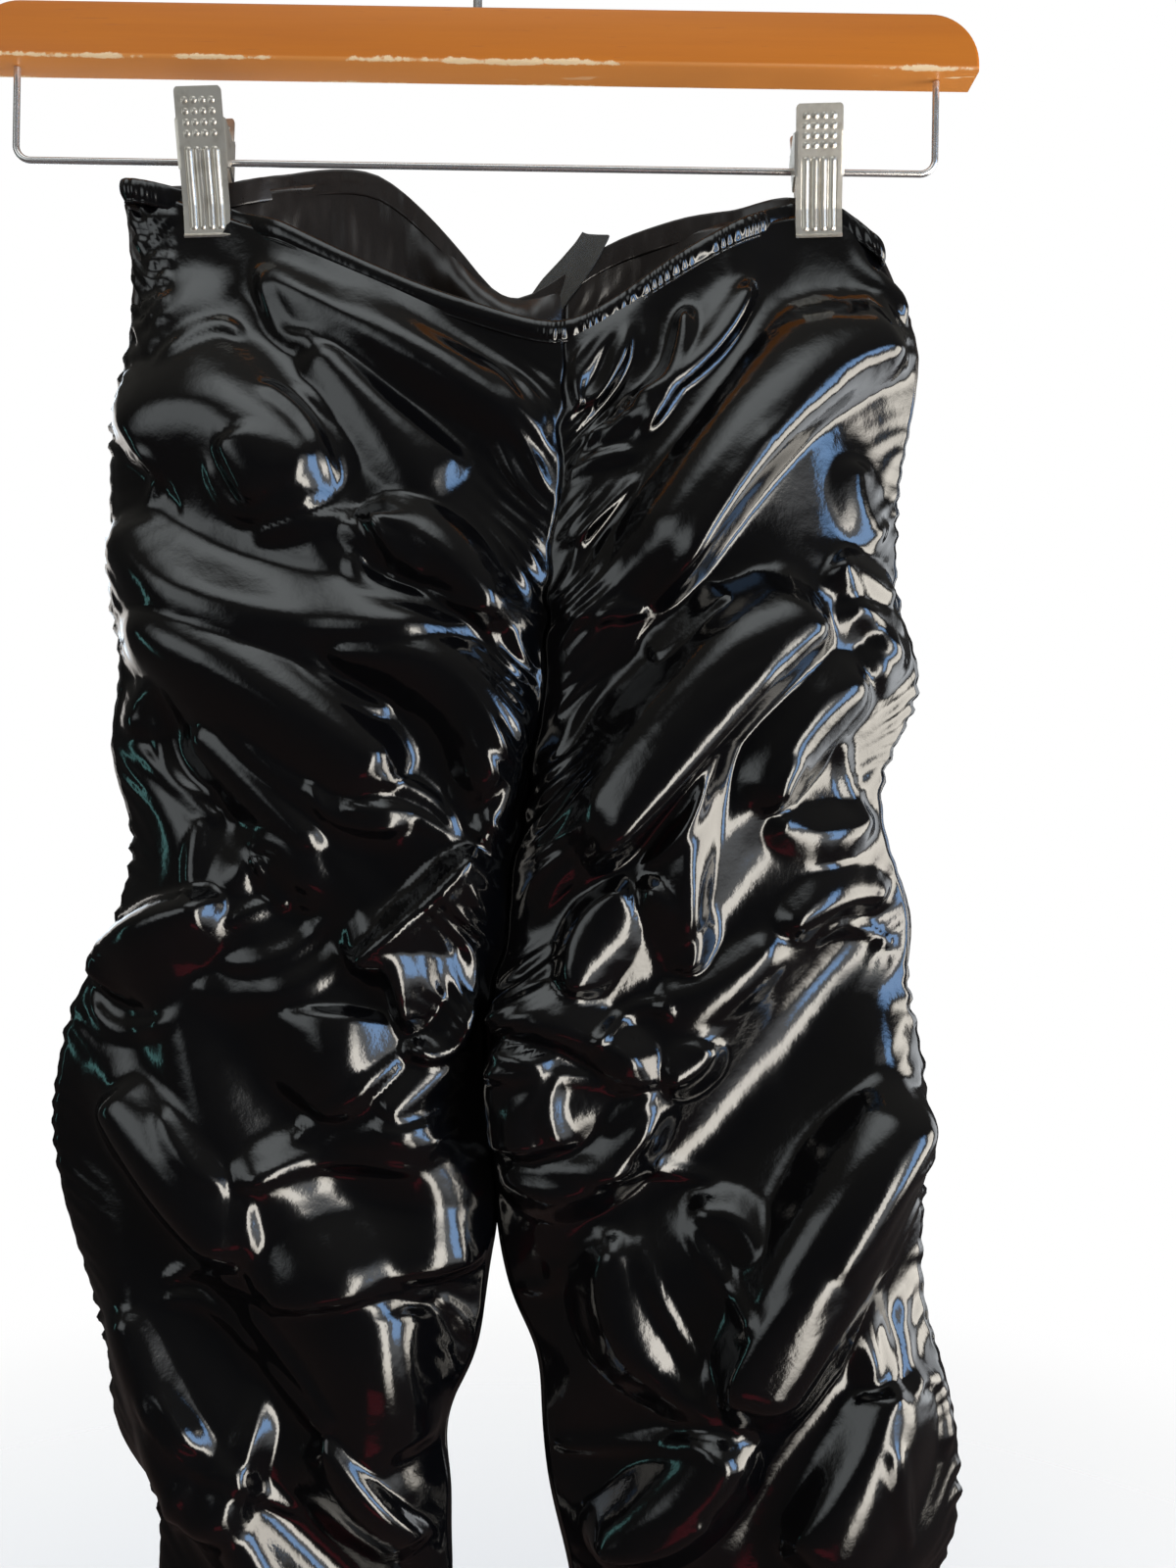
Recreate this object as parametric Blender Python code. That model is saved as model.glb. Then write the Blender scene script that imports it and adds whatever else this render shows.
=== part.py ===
"""Ruched vinyl trousers, hanging by two clips from a wooden trouser hanger.

The garment faces -Y, and its right-hand pieces, the wearer's right, lie at -X. The origin is
inside the top of the hanger's hook, where a rail would carry it. Lengths in the tables and
in the cloth's functions are in millimetres, and each mesh is made in metres.
"""

import math

import bmesh
import bpy
import numpy as np
from mathutils import Matrix, Vector

MM = 0.001

# The hanger, in mm. Heights are measured down from the inside of the hook's crown.
BAR_LENGTH = 406
BAR_HEIGHT = 20
BAR_DEPTH = 18
BAR_TOP = -91
BAR_END_ROUND = 23
BAR_CORNER_STEPS = 7
BAR_EDGE_ROUND = 1.6
HOOK_INNER_RADIUS = 19
HOOK_WIRE = 3.6
HOOK_NECK = -52
HOOK_TIP_ANGLE = 200
HOOK_TURN = 230
HOOK_SHANK_PULL = 12
FERRULE_DIAMETER = 9
FERRULE_HEIGHT = 3
ROD_WIRE = 2.7
ROD_HALF_LENGTH = 187.5
ROD_HEIGHT = -149
ROD_CORNER = 6
TOUCH = 0.3

# The clips: pressed plates that pivot on the rod and pinch the waist at its two sides.
CLIP_PLATE = 0.9
CLIP_HOLE_RADIUS = 2.2
CLIP_HALF_WIDTHS = {"front": 9.4, "back": 8.0}
CLIP_RIB_HEIGHT = 0.7
CLIP_RIB_CENTRES = (-5.4, -1.8, 1.8, 5.4)
CLIP_RIB_HALF_WIDTH = 0.9
CLIP_RIB_TOP = -146.0
CLIP_RIB_FOOT = -177.5
CLIP_WING_TOP = -136.0
CLIP_WING_FOOT = -154.0
CLIP_WING_REACH = 2.8
CLIP_WING_CURVE = 1.5
SPRING_COILS = 4
SPRING_PITCH = 2.4
SPRING_LOW = 2.6
SPRING_HIGH = 3.4
SPRING_SIDES = 10
CLIPS = [("side", "x", "lean"), ("right", -109, -2.5), ("left", 139, -2.5)]
# Each plate's inner face seen from the side: distance from the middle plane by height.
PLATE_LINE = [
    ("z", "y"),
    (-124.5, 12.4),
    (-136.0, 10.0),
    (-154.0, 6.4),
    (-168.0, 3.4),
    (-176.0, 2.6),
    (-179.5, 2.6),
    (-180.8, 3.6),
]

# The cloth.
WALL = 1.5
CASING_WALL = 1.9
SEAM_GAP = 0.3
HEM = -1100.0
CASING_SHARE = 0.0092
EDGE_ROUND = 2.2
EDGE_REACH = 3.0
ARCH_POWER = 2.5
RISE_TURN = -430.0
CROTCH = -512.0

# Side seams, where the outline turns round, down from the waist. Each wanders where its
# elastic ruches it and where folds run over the side.
RIGHT_SIDE = [
    ("z", "x"),
    (-157, -144), (-199, -138), (-221, -139), (-244, -146), (-259, -149), (-275, -145),
    (-287, -149), (-305, -144), (-331, -150), (-343, -140), (-369, -143), (-393, -147),
    (-417, -135), (-435, -134), (-453, -142), (-469, -143), (-487, -159), (-515, -164),
    (-539, -168), (-575, -161), (-603, -151), (-643, -139), (-655, -143), (-667, -139),
    (-690, -119), (-723, -120), (-800, -124), (-880, -117), (-960, -119), (-1040, -112),
    (-1100, -112),
]
LEFT_SIDE = [
    ("z", "x"),
    (-181, 166), (-197, 169), (-215, 183), (-232, 183), (-256, 179), (-280, 174),
    (-312, 175), (-322, 171), (-340, 183), (-356, 186), (-370, 184), (-390, 169),
    (-414, 169), (-426, 174), (-448, 183), (-460, 186), (-474, 178), (-498, 187),
    (-526, 191), (-590, 189), (-613, 190), (-630, 198), (-660, 205), (-690, 207),
    (-708, 204), (-735, 190), (-800, 189), (-880, 180), (-960, 178), (-1040, 171),
    (-1100, 170),
]
# The rise seam, the middle line of front and back from the waist to the crotch.
RISE = [
    ("z", "x"),
    (-190, 37), (-257, 38), (-310, 34), (-370, 31), (-397, 27), (-427, 22), (-453, 19),
    (-480, 14), (-495, 10), (-512, 10),
]
# Inner edges of the legs. The thighs press together down to 581 mm, then part.
RIGHT_INNER = [
    ("z", "x"),
    (-512, 9.4), (-560, 14), (-581, 16.4), (-590, 13), (-619, 11), (-640, 7), (-652, -4),
    (-672, -6), (-684, 2), (-700, -3), (-720, 1), (-800, -8), (-900, -14), (-1000, -16),
    (-1100, -16),
]
LEFT_INNER = [
    ("z", "x"),
    (-512, 10.6), (-560, 15.2), (-581, 17.6), (-597, 19), (-614, 23), (-627, 34),
    (-657, 35), (-684, 38), (-720, 48), (-800, 58), (-900, 66), (-1000, 72), (-1100, 75),
]
# Upper edge of the waist casing, which sags between the clips.
FRONT_EDGE = [
    ("x", "z"),
    (-144, -157), (-118, -160), (-95, -170), (-81, -174), (-48, -190), (-17, -203),
    (15, -213), (32, -217), (40, -216), (55, -208), (78, -190), (97, -178), (115, -168),
    (129, -161), (150, -162), (158, -171), (166, -181),
]
BACK_EDGE = [
    ("x", "z"),
    (-144, -157), (-118, -158), (-99, -157), (-84, -150), (-60, -146), (-41, -147),
    (-22, -162), (-5, -180), (12, -201), (30, -192), (49, -178), (60, -172), (87, -163),
    (127, -158), (150, -161), (158, -170), (166, -181),
]
# How far the cloth stands off the middle plane, before its folds.
DEPTHS = [
    ("z", "front", "back"),
    (-150, 8, 9), (-190, 12, 13), (-220, 15, 16), (-260, 19, 22), (-330, 23, 28),
    (-420, 25, 32), (-500, 24, 31), (-560, 23, 27), (-640, 21, 25), (-720, 20, 23),
    (-900, 18, 20), (-1100, 16, 17),
]

# Folds, each on a curve from its start past its middle to its end, seen from the front.
# The left and right columns are how far it slopes away on either hand, walking along it.
FOLD_COLUMNS = ("x0", "z0", "x1", "z1", "x2", "z2", "height", "left", "right")
RIGHT_FRONT_FOLDS = [
    FOLD_COLUMNS,
    (-89, -193, -40, -222, 37, -264, 7, 16, 12),
    (-63, -226, -33, -256, 2, -279, 6, 9, 18),
    (-126, -241, -118, -208, -92, -192, 5, 14, 12),
    (-139, -268, -100, -258, -50, -290, 12, 16, 24),
    (-94, -251, -65, -249, -53, -266, 5, 8, 11),
    (-138, -294, -95, -334, 11, -340, 9, 16, 16),
    (-39, -306, -15, -306, 19, -340, 9, 11, 14),
    (-139, -334, -72, -368, -22, -401, 9, 14, 14),
    (-134, -386, -120, -362, -100, -355, 7, 10, 13),
    (-96, -366, -62, -402, -16, -416, 7, 11, 12),
    (-107, -378, -80, -402, -51, -429, 7, 10, 13),
    (-64, -351, 0, -362, 6, -413, 8, 15, 13),
    (9, -363, 20, -392, 6, -425, 8, 12, 9),
    (6, -426, -14, -448, -42, -472, 13, 15, 11),
    (-42, -474, -14, -472, -20, -500, 10, 12, 11),
    (-20, -501, -6, -505, 8, -483, 8, 12, 9),
    (-89, -447, -72, -424, -53, -449, 7, 10, 11),
    (-148, -484, -126, -462, -89, -447, 12, 10, 26),
    (-105, -479, -73, -484, -41, -464, 5, 9, 11),
    (-137, -524, -114, -550, -79, -587, 8, 13, 13),
    (-29, -530, -12, -518, 8, -498, 6, 9, 9),
    (-83, -557, -46, -542, 3, -540, 6, 10, 11),
    (-74, -600, -34, -592, 14, -588, 9, 13, 12),
    (-79, -604, -61, -628, -40, -653, 7, 11, 11),
    (-120, -640, -96, -690, -74, -640, 6, 10, 10),
    (-48, -654, -32, -676, -9, -703, 8, 12, 12),
    (-131, -610, -120, -636, -97, -662, 6, 9, 13),
]
LEFT_FRONT_FOLDS = [
    FOLD_COLUMNS,
    (176, -226, 126, -254, 75, -332, 14, 14, 34),
    (68, -211, 68, -236, 59, -258, 3, 7, 7),
    (85, -209, 83, -236, 67, -264, 4, 8, 8),
    (112, -196, 94, -230, 62, -255, 5, 9, 11),
    (39, -307, 74, -284, 84, -318, 4, 8, 9),
    (105, -324, 92, -341, 72, -354, 7, 11, 12),
    (141, -334, 100, -368, 49, -432, 15, 10, 28),
    (141, -334, 166, -336, 158, -362, 8, 12, 12),
    (161, -357, 132, -378, 120, -411, 10, 12, 15),
    (120, -411, 140, -419, 165, -413, 7, 11, 9),
    (143, -310, 156, -318, 172, -324, 8, 9, 14),
    (154, -269, 156, -289, 167, -302, 5, 9, 9),
    (111, -365, 92, -396, 89, -475, 8, 9, 11),
    (69, -439, 50, -456, 46, -484, 10, 11, 12),
    (69, -439, 88, -452, 89, -476, 8, 11, 11),
    (10, -493, 40, -492, 79, -513, 9, 12, 11),
    (79, -513, 92, -508, 98, -498, 7, 9, 9),
    (76, -482, 100, -477, 126, -458, 5, 9, 11),
    (126, -457, 149, -443, 173, -443, 7, 9, 9),
    (15, -551, 50, -554, 79, -520, 6, 9, 9),
    (182, -519, 142, -575, 110, -642, 13, 22, 18),
    (107, -646, 92, -674, 55, -700, 8, 12, 12),
    (68, -575, 66, -610, 108, -643, 6, 9, 11),
    (90, -569, 115, -572, 119, -605, 6, 9, 9),
    (169, -632, 160, -658, 130, -700, 9, 11, 13),
    (176, -636, 196, -640, 198, -669, 5, 7, 7),
    (164, -555, 158, -590, 168, -639, 6, 9, 9),
]
# Runs of like folds on what the front view hides: how many, from the first to the last
# height at the side seam, how far each drops on its way over, its height and its half width.
HIDDEN_FOLDS = [
    ("face", "count", "first", "last", "drop", "height", "spread"),
    ("back", 11, -215, -640, 46, 10, 15),
    ("back", 9, -690, -1052, 44, 10, 22),
    ("front", 9, -738, -1056, 46, 10, 22),
]
FOLD_STEPS = 12
CREST_ROUND = 0.2

# Gathers along the elastic in the seams: how many, and how high they stand.
SIDE_GATHERS = 40
RISE_GATHERS = 28
GATHER_HEIGHT = 1.7
GATHER_COLUMN = 9.0
CASING_GATHER_HEIGHT = 0.6
CASING_COLUMN = 6.2
# The gathers are fullest halfway down the casing, and least at its top edge.
CASING_SWELL = (0.6, 1.6, 1.0)

# The fine columns of a panel lie this far from each seam, and its coarse ones at these
# shares of its width, with one on either side of each clip.
SEAM_COLUMNS = (0.0, 2.6, GATHER_COLUMN)
PANEL_COLUMNS = {
    "front": (0.12, 0.2, 0.29, 0.4, 0.5, 0.6, 0.7, 0.81),
    "back": (0.12, 0.29, 0.47, 0.66, 0.85),
}
# The first whole row of a panel. Above it a strip of short gathers runs up to the casing.
FIRST_ROW_SHARE = 0.022
# Coarse rows above and below the share of the height where the fine folds end.
PANEL_ROWS = {"front": (44, 15), "back": (25, 14)}
FOLDED_SHARE = 0.62
INSEAM_ROWS = 24

# The ribbon sewn inside the back waist: centre line and width, from its sewn end upwards.
RIBBON = [
    ("x", "y", "z", "width"),
    (23, 14.3, -212, 15),
    (27, 13.55, -203, 15),
    (33, 12.75, -194, 14.5),
    (40, 11.9, -186, 13.5),
    (46, 11.2, -178, 12),
    (50, 10.7, -171, 11),
]
RIBBON_WALL = 1.2
RIBBON_SLANT = 3.0

BLACK_VINYL = ("black vinyl", (0.012, 0.012, 0.014), 0.12, 0.0)
VARNISHED_BEECH = ("varnished beech", (0.55, 0.30, 0.13), 0.3, 0.0)
STEEL_WIRE = ("steel wire", (0.62, 0.61, 0.60), 0.25, 1.0)
NICKEL = ("nickel plate", (0.66, 0.62, 0.57), 0.3, 1.0)
OLIVE_TAPE = ("olive tape", (0.08, 0.075, 0.055), 0.8, 0.0)


def column(table, name):
    """One named column of a table whose first row holds the names."""
    place = table[0].index(name)
    return np.array([row[place] for row in table[1:]], dtype=float)


def between(table, key, value, where):
    """A column's value at a key, read between the table's rows."""
    keys, values = column(table, key), column(table, value)
    order = np.argsort(keys)
    return np.interp(where, keys[order], values[order])


def smooth(low, high, value):
    """A soft step from 0 at low to 1 at high."""
    share = np.clip((value - low) / (high - low), 0.0, 1.0)
    return share * share * (3.0 - 2.0 * share)


def material(finish):
    """A plain material, made once for each finish."""
    name, colour, roughness, metallic = finish
    found = bpy.data.materials.get(name)
    if found:
        return found
    made = bpy.data.materials.new(name)
    made.use_nodes = True
    shader = made.node_tree.nodes["Principled BSDF"]
    shader.inputs["Base Color"].default_value = (*colour, 1.0)
    shader.inputs["Roughness"].default_value = roughness
    shader.inputs["Metallic"].default_value = metallic
    return made


def add_object(name, data, finish):
    """An object of this name in the scene, with its finish."""
    data.name = name
    made = bpy.data.objects.new(name, data)
    data.materials.append(material(finish))
    bpy.context.scene.collection.objects.link(made)
    return made


def solid_from(name, points, faces, finish, facing=None):
    """A solid from points in mm and faces, turned outwards, or for an open sheet to one side."""
    mesh = bpy.data.meshes.new(name)
    mesh.from_pydata([tuple(MM * value for value in point) for point in points], [], faces)
    shape = bmesh.new()
    shape.from_mesh(mesh)
    bmesh.ops.recalc_face_normals(shape, faces=shape.faces)
    if facing and sum(face.normal.y * face.calc_area() for face in shape.faces) * facing < 0:
        bmesh.ops.reverse_faces(shape, faces=shape.faces)
    shape.to_mesh(mesh)
    shape.free()
    mesh.shade_smooth()
    return add_object(name, mesh, finish)


def wire(name, points, diameter, sides, finish):
    """A round wire with capped ends through points in mm."""
    curve = bpy.data.curves.new(name, "CURVE")
    curve.dimensions = "3D"
    curve.bevel_depth = diameter / 2 * MM
    curve.bevel_resolution = sides // 2 - 2
    curve.use_fill_caps = True
    spline = curve.splines.new("POLY")
    spline.points.add(len(points) - 1)
    for place, point in zip(spline.points, points):
        place.co = (point[0] * MM, point[1] * MM, point[2] * MM, 1.0)
    return add_object(name, curve, finish)


def add_bar():
    """The wooden bar: level underneath, its upper corners rounded down to the ends."""
    half, bottom = BAR_LENGTH / 2, BAR_TOP - BAR_HEIGHT
    outline = [(-half, bottom), (half, bottom)]
    for step in range(1, BAR_CORNER_STEPS + 1):
        turn = math.pi / 2 * step / BAR_CORNER_STEPS
        x = half - BAR_END_ROUND * (1 - math.cos(turn))
        outline.append((x, bottom + BAR_HEIGHT * math.sin(turn)))
    outline += [(-x, z) for x, z in reversed(outline[2:])]
    count = len(outline)
    points = [(x, side * BAR_DEPTH / 2, z) for side in (-1, 1) for x, z in outline]
    faces = [list(range(count)), list(range(2 * count - 1, count - 1, -1))]
    faces += [(i, (i + 1) % count, count + (i + 1) % count, count + i) for i in range(count)]
    bar = solid_from("hanger_bar", points, faces, VARNISHED_BEECH)
    bevel = bar.modifiers.new("rounded edges", "BEVEL")
    bevel.width = BAR_EDGE_ROUND * MM
    bevel.segments = 2
    bevel.limit_method = "ANGLE"
    bevel.angle_limit = math.radians(50)


def add_hook():
    """The steel hook and the ferrule that it screws through."""
    radius = HOOK_INNER_RADIUS + HOOK_WIRE / 2
    middle = -HOOK_INNER_RADIUS
    arc_steps, shank_steps = 20, 6
    points = []
    for step in range(arc_steps + 1):
        turn = math.radians(HOOK_TIP_ANGLE - HOOK_TURN * step / arc_steps)
        points.append((radius * math.cos(turn), 0, middle + radius * math.sin(turn)))
    start, end = Vector((points[-1][0], points[-1][2])), Vector((0, HOOK_NECK))
    heading = Vector((math.sin(turn), -math.cos(turn)))
    near, far = start + heading * HOOK_SHANK_PULL, end + Vector((0, HOOK_SHANK_PULL))
    for step in range(1, shank_steps + 1):
        share = step / shank_steps
        spot = (
            start * (1 - share) ** 3
            + near * 3 * share * (1 - share) ** 2
            + far * 3 * share**2 * (1 - share)
            + end * share**3
        )
        points.append((spot.x, 0, spot.y))
    foot = BAR_TOP + FERRULE_HEIGHT + 2 * TOUCH
    points.append((0, 0, foot))
    wire("hook", points, HOOK_WIRE, 8, STEEL_WIRE)

    shape = bmesh.new()
    bmesh.ops.create_cone(
        shape,
        cap_ends=True,
        segments=20,
        radius1=FERRULE_DIAMETER / 2 * MM,
        radius2=FERRULE_DIAMETER / 2.6 * MM,
        depth=FERRULE_HEIGHT * MM,
        matrix=Matrix.Translation((0, 0, (BAR_TOP + TOUCH + FERRULE_HEIGHT / 2) * MM)),
    )
    mesh = bpy.data.meshes.new("hook_ferrule")
    shape.to_mesh(mesh)
    shape.free()
    add_object("hook_ferrule", mesh, STEEL_WIRE)


def add_rod():
    """The wire rod under the bar, bent up into its underside at both ends."""
    top = BAR_TOP - BAR_HEIGHT - TOUCH
    corner_steps = 5
    side = [(ROD_HALF_LENGTH, 0, top)]
    for step in range(corner_steps + 1):
        turn = math.pi / 2 * step / corner_steps
        x = ROD_HALF_LENGTH - ROD_CORNER * (1 - math.cos(turn))
        side.append((x, 0, ROD_HEIGHT + ROD_CORNER * (1 - math.sin(turn))))
    points = side + [(-x, y, z) for x, y, z in reversed(side)]
    wire("clip_rod", points, ROD_WIRE, 8, STEEL_WIRE)


def leaned(points, x, lean):
    """Points turned about the rod, in the plane of the hanger, and moved to a clip's place."""
    cosine, sine = math.cos(math.radians(lean)), math.sin(math.radians(lean))
    moved = []
    for px, py, pz in points:
        up = pz - ROD_HEIGHT
        moved.append((x + px * cosine + up * sine, py, ROD_HEIGHT + up * cosine - px * sine))
    return moved


def add_plate(name, x, lean, face):
    """One pressed plate of a clip: a bent sheet with two wings that turn in to the rod. The
    front one has four ribs."""
    half_width, facing = CLIP_HALF_WIDTHS[face], -1 if face == "front" else 1
    rib_centres = CLIP_RIB_CENTRES if face == "front" else ()
    across = [-half_width]
    for centre in rib_centres:
        across += [centre - CLIP_RIB_HALF_WIDTH, centre, centre + CLIP_RIB_HALF_WIDTH]
    across.append(half_width)
    wanted = set(column(PLATE_LINE, "z")) | {CLIP_WING_TOP, CLIP_WING_FOOT}
    if rib_centres:
        wanted |= {CLIP_RIB_TOP, CLIP_RIB_TOP - 1.0, CLIP_RIB_FOOT, CLIP_RIB_FOOT + 1.0}
    rows = sorted(wanted, reverse=True)
    points, faces = [], []
    for z in rows:
        y = between(PLATE_LINE, "z", "y", z)
        for px in across:
            on_rib = px in rib_centres and CLIP_RIB_FOOT < z < CLIP_RIB_TOP
            points.append((px, facing * (y + CLIP_RIB_HEIGHT * on_rib), z))
    width = len(across)
    for row in range(len(rows) - 1):
        for place in range(width - 1):
            corner = row * width + place
            faces.append((corner, corner + 1, corner + width + 1, corner + width))
    for edge in (0, width - 1):
        spine = [row for row, z in enumerate(rows) if CLIP_WING_FOOT <= z <= CLIP_WING_TOP]
        rim = []
        for row in spine:
            share = (rows[row] - CLIP_WING_FOOT) / (CLIP_WING_TOP - CLIP_WING_FOOT)
            narrow = abs(2 * share - 1) ** CLIP_WING_CURVE
            plate_y = between(PLATE_LINE, "z", "y", rows[row]) - 1.0
            y = plate_y * narrow - CLIP_WING_REACH * (1 - narrow)
            rim.append(len(points))
            points.append((across[edge], facing * y, rows[row]))
        for here in range(len(spine) - 1):
            corners = (spine[here] * width + edge, spine[here + 1] * width + edge)
            faces.append((*corners, rim[here + 1], rim[here]))
    sheet = solid_from(name, leaned(points, x, lean), faces, NICKEL, facing=facing)
    wall = sheet.modifiers.new("sheet metal", "SOLIDIFY")
    wall.thickness = CLIP_PLATE * MM
    wall.offset = 1.0
    wall.use_even_offset = True
    bore = bpy.data.meshes.new("rod hole")
    shape = bmesh.new()
    along_rod = Matrix.Translation((x * MM, 0, ROD_HEIGHT * MM)) @ Matrix.Rotation(math.pi / 2, 4, "Y")
    bmesh.ops.create_cone(
        shape,
        cap_ends=True,
        segments=14,
        radius1=CLIP_HOLE_RADIUS * MM,
        radius2=CLIP_HOLE_RADIUS * MM,
        depth=3 * half_width * MM,
        matrix=along_rod,
    )
    shape.to_mesh(bore)
    shape.free()
    cutter = add_object(name + " hole", bore, NICKEL)
    cutter.hide_render = True
    cutter.display_type = "WIRE"
    drill = sheet.modifiers.new("rod hole", "BOOLEAN")
    drill.operation = "DIFFERENCE"
    drill.object = cutter


def add_spring(name, x):
    """The coil spring on the rod between a clip's wings, as one turned ring with four coils."""
    inner, half_length = ROD_WIRE / 2 + TOUCH, SPRING_COILS * SPRING_PITCH / 2
    profile = [(-half_length, inner)]
    for step in range(2 * SPRING_COILS + 1):
        profile.append((SPRING_PITCH / 2 * step - half_length, SPRING_HIGH if step % 2 else SPRING_LOW))
    profile.append((half_length, inner))
    count = len(profile)
    points, faces = [], []
    for side in range(SPRING_SIDES):
        turn = 2 * math.pi * side / SPRING_SIDES
        points += [(x + px, r * math.cos(turn), ROD_HEIGHT + r * math.sin(turn)) for px, r in profile]
        here, after = side * count, (side + 1) % SPRING_SIDES * count
        for place in range(count):
            beside = (place + 1) % count
            faces.append((here + place, here + beside, after + beside, after + place))
    solid_from(name, points, faces, STEEL_WIRE)


class Cloth:
    """One leg panel's surface. Across runs from the side seam to the rise or the inseam, and
    hang from the waist's edge to the hem."""

    def __init__(self, hand, face):
        self.side = -1 if hand == "right" else 1
        self.front = face == "front"
        self.turned = -1 if self.front else 1
        self.face = face
        self.edge = FRONT_EDGE if self.front else BACK_EDGE
        self.side_line = RIGHT_SIDE if hand == "right" else LEFT_SIDE
        self.inner_line = RIGHT_INNER if hand == "right" else LEFT_INNER
        self.side_top = self.side_line[1][0]
        self.middle_top = float(between(self.edge, "x", "z", RISE[1][1]))
        self.folds = [FOLD_COLUMNS]
        if self.front:
            self.folds += (RIGHT_FRONT_FOLDS if hand == "right" else LEFT_FRONT_FOLDS)[1:]
        for run in HIDDEN_FOLDS[1:]:
            if run[0] == face:
                self.folds += self.hidden_run(*run[1:])

    def middle_x(self, z):
        """The inner end of a row: the rise above the crotch, the leg's inner edge below."""
        rise_x = between(RISE, "z", "x", z)
        return np.where(z >= CROTCH, rise_x, between(self.inner_line, "z", "x", z))

    def hidden_run(self, count, first, last, drop, height, spread):
        """Folds that drop from one seam towards the other, uneven in length and depth. Every
        third one starts at the middle, and the rest at the side seam."""
        run = []
        for step in range(count):
            sway = math.sin(2.4 * step + (0.9 if self.side > 0 else 0.0))
            z = first + (last - first) * (step + 0.3 * sway) / (count - 1)
            edges = [float(between(self.side_line, "z", "x", z)), float(self.middle_x(z - drop))]
            if step % 3 == 2:
                edges.reverse()
            start = edges[0] + (edges[1] - edges[0]) * (0.07 + 0.04 * sway)
            end = start + (edges[1] - start) * (0.76 + 0.18 * math.cos(1.7 * step))
            middle, sag = (start + end) / 2, drop * (0.75 + 0.2 * sway)
            tall = height * (0.8 + 0.2 * math.cos(2.1 * step))
            left, right = spread - 2 * sway, spread + 2 * sway
            run.append((start, z, middle, z - sag, end, z - drop, tall, left, right))
        return run

    def heights(self, hang):
        """Height of a row at its side seam and at its inner end."""
        return (
            self.side_top + (HEM - self.side_top) * hang,
            self.middle_top + (HEM - self.middle_top) * hang,
        )

    def width(self, hang):
        side_z, middle_z = self.heights(hang)
        return np.abs(self.middle_x(middle_z) - between(self.side_line, "z", "x", side_z))

    def pinch(self, x, z):
        """How open the cloth is: 0 in a clip's jaws, 1 well clear of both clips."""
        closed = 1.0
        for _, clip_x, _ in CLIPS[1:]:
            beside = smooth(18.0, 54.0, np.abs(x - clip_x))
            below = smooth(-194.0, -232.0, z)
            closed = closed * (1.0 - (1.0 - beside) * (1.0 - below))
        return closed

    def base(self, across, hang):
        """Points of the smooth surface before folds, with the cloth as flat as it hangs."""
        side_z, middle_z = self.heights(hang)
        side_x = between(self.side_line, "z", "x", side_z)
        middle_x = self.middle_x(middle_z)
        x = side_x + (middle_x - side_x) * across
        z = side_z + (middle_z - side_z) * across
        top_x = self.side_line[1][1] + (RISE[1][1] - self.side_line[1][1]) * across
        straight = self.side_top + (self.middle_top - self.side_top) * across
        sag = between(self.edge, "x", "z", top_x) - straight
        z = z + sag * (1.0 - smooth(0.0, 0.16, hang))
        turn = np.clip((middle_z - RISE_TURN) / (CROTCH - RISE_TURN), 0.0, 1.0)
        arch = (1.0 - np.abs(1.0 - across * (1.0 + turn)) ** ARCH_POWER).clip(0.0) ** (1.0 / ARCH_POWER)
        side_edge = self.rounded(np.abs(x - side_x))
        inner_edge = 1.0 - turn * (1.0 - self.rounded(np.abs(x - middle_x)))
        open_by = self.pinch(x, z)
        depth = between(DEPTHS, "z", self.face, z) * open_by
        y = EDGE_ROUND * side_edge * inner_edge + depth * arch
        return np.stack([x, self.turned * (y + SEAM_GAP / 2), z], axis=-1)

    @staticmethod
    def rounded(distance):
        """The quarter round that a flattened panel makes at its edge."""
        return np.sqrt(1.0 - (1.0 - np.minimum(distance / EDGE_REACH, 1.0)) ** 2)

    def normal(self, across, hang):
        """Outward direction of the smooth surface."""
        step_across, step_hang = 0.004, 0.002
        low_across, low_hang = (across - step_across).clip(0.0), (hang - step_hang).clip(0.0)
        high_across = (across + step_across).clip(None, 1.0)
        high_hang = (hang + step_hang).clip(None, 1.0)
        over = self.base(high_across, hang) - self.base(low_across, hang)
        down = self.base(across, high_hang) - self.base(across, low_hang)
        out = np.cross(over, down)
        out *= np.sign(out[..., 1:2] * self.turned + 1e-9)
        return out / np.linalg.norm(out, axis=-1, keepdims=True)

    def fold_height(self, x, z):
        """Height of all the folds at places seen from the front."""
        height = np.zeros_like(x)
        shares = np.linspace(0.0, 1.0, FOLD_STEPS + 1)
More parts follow.
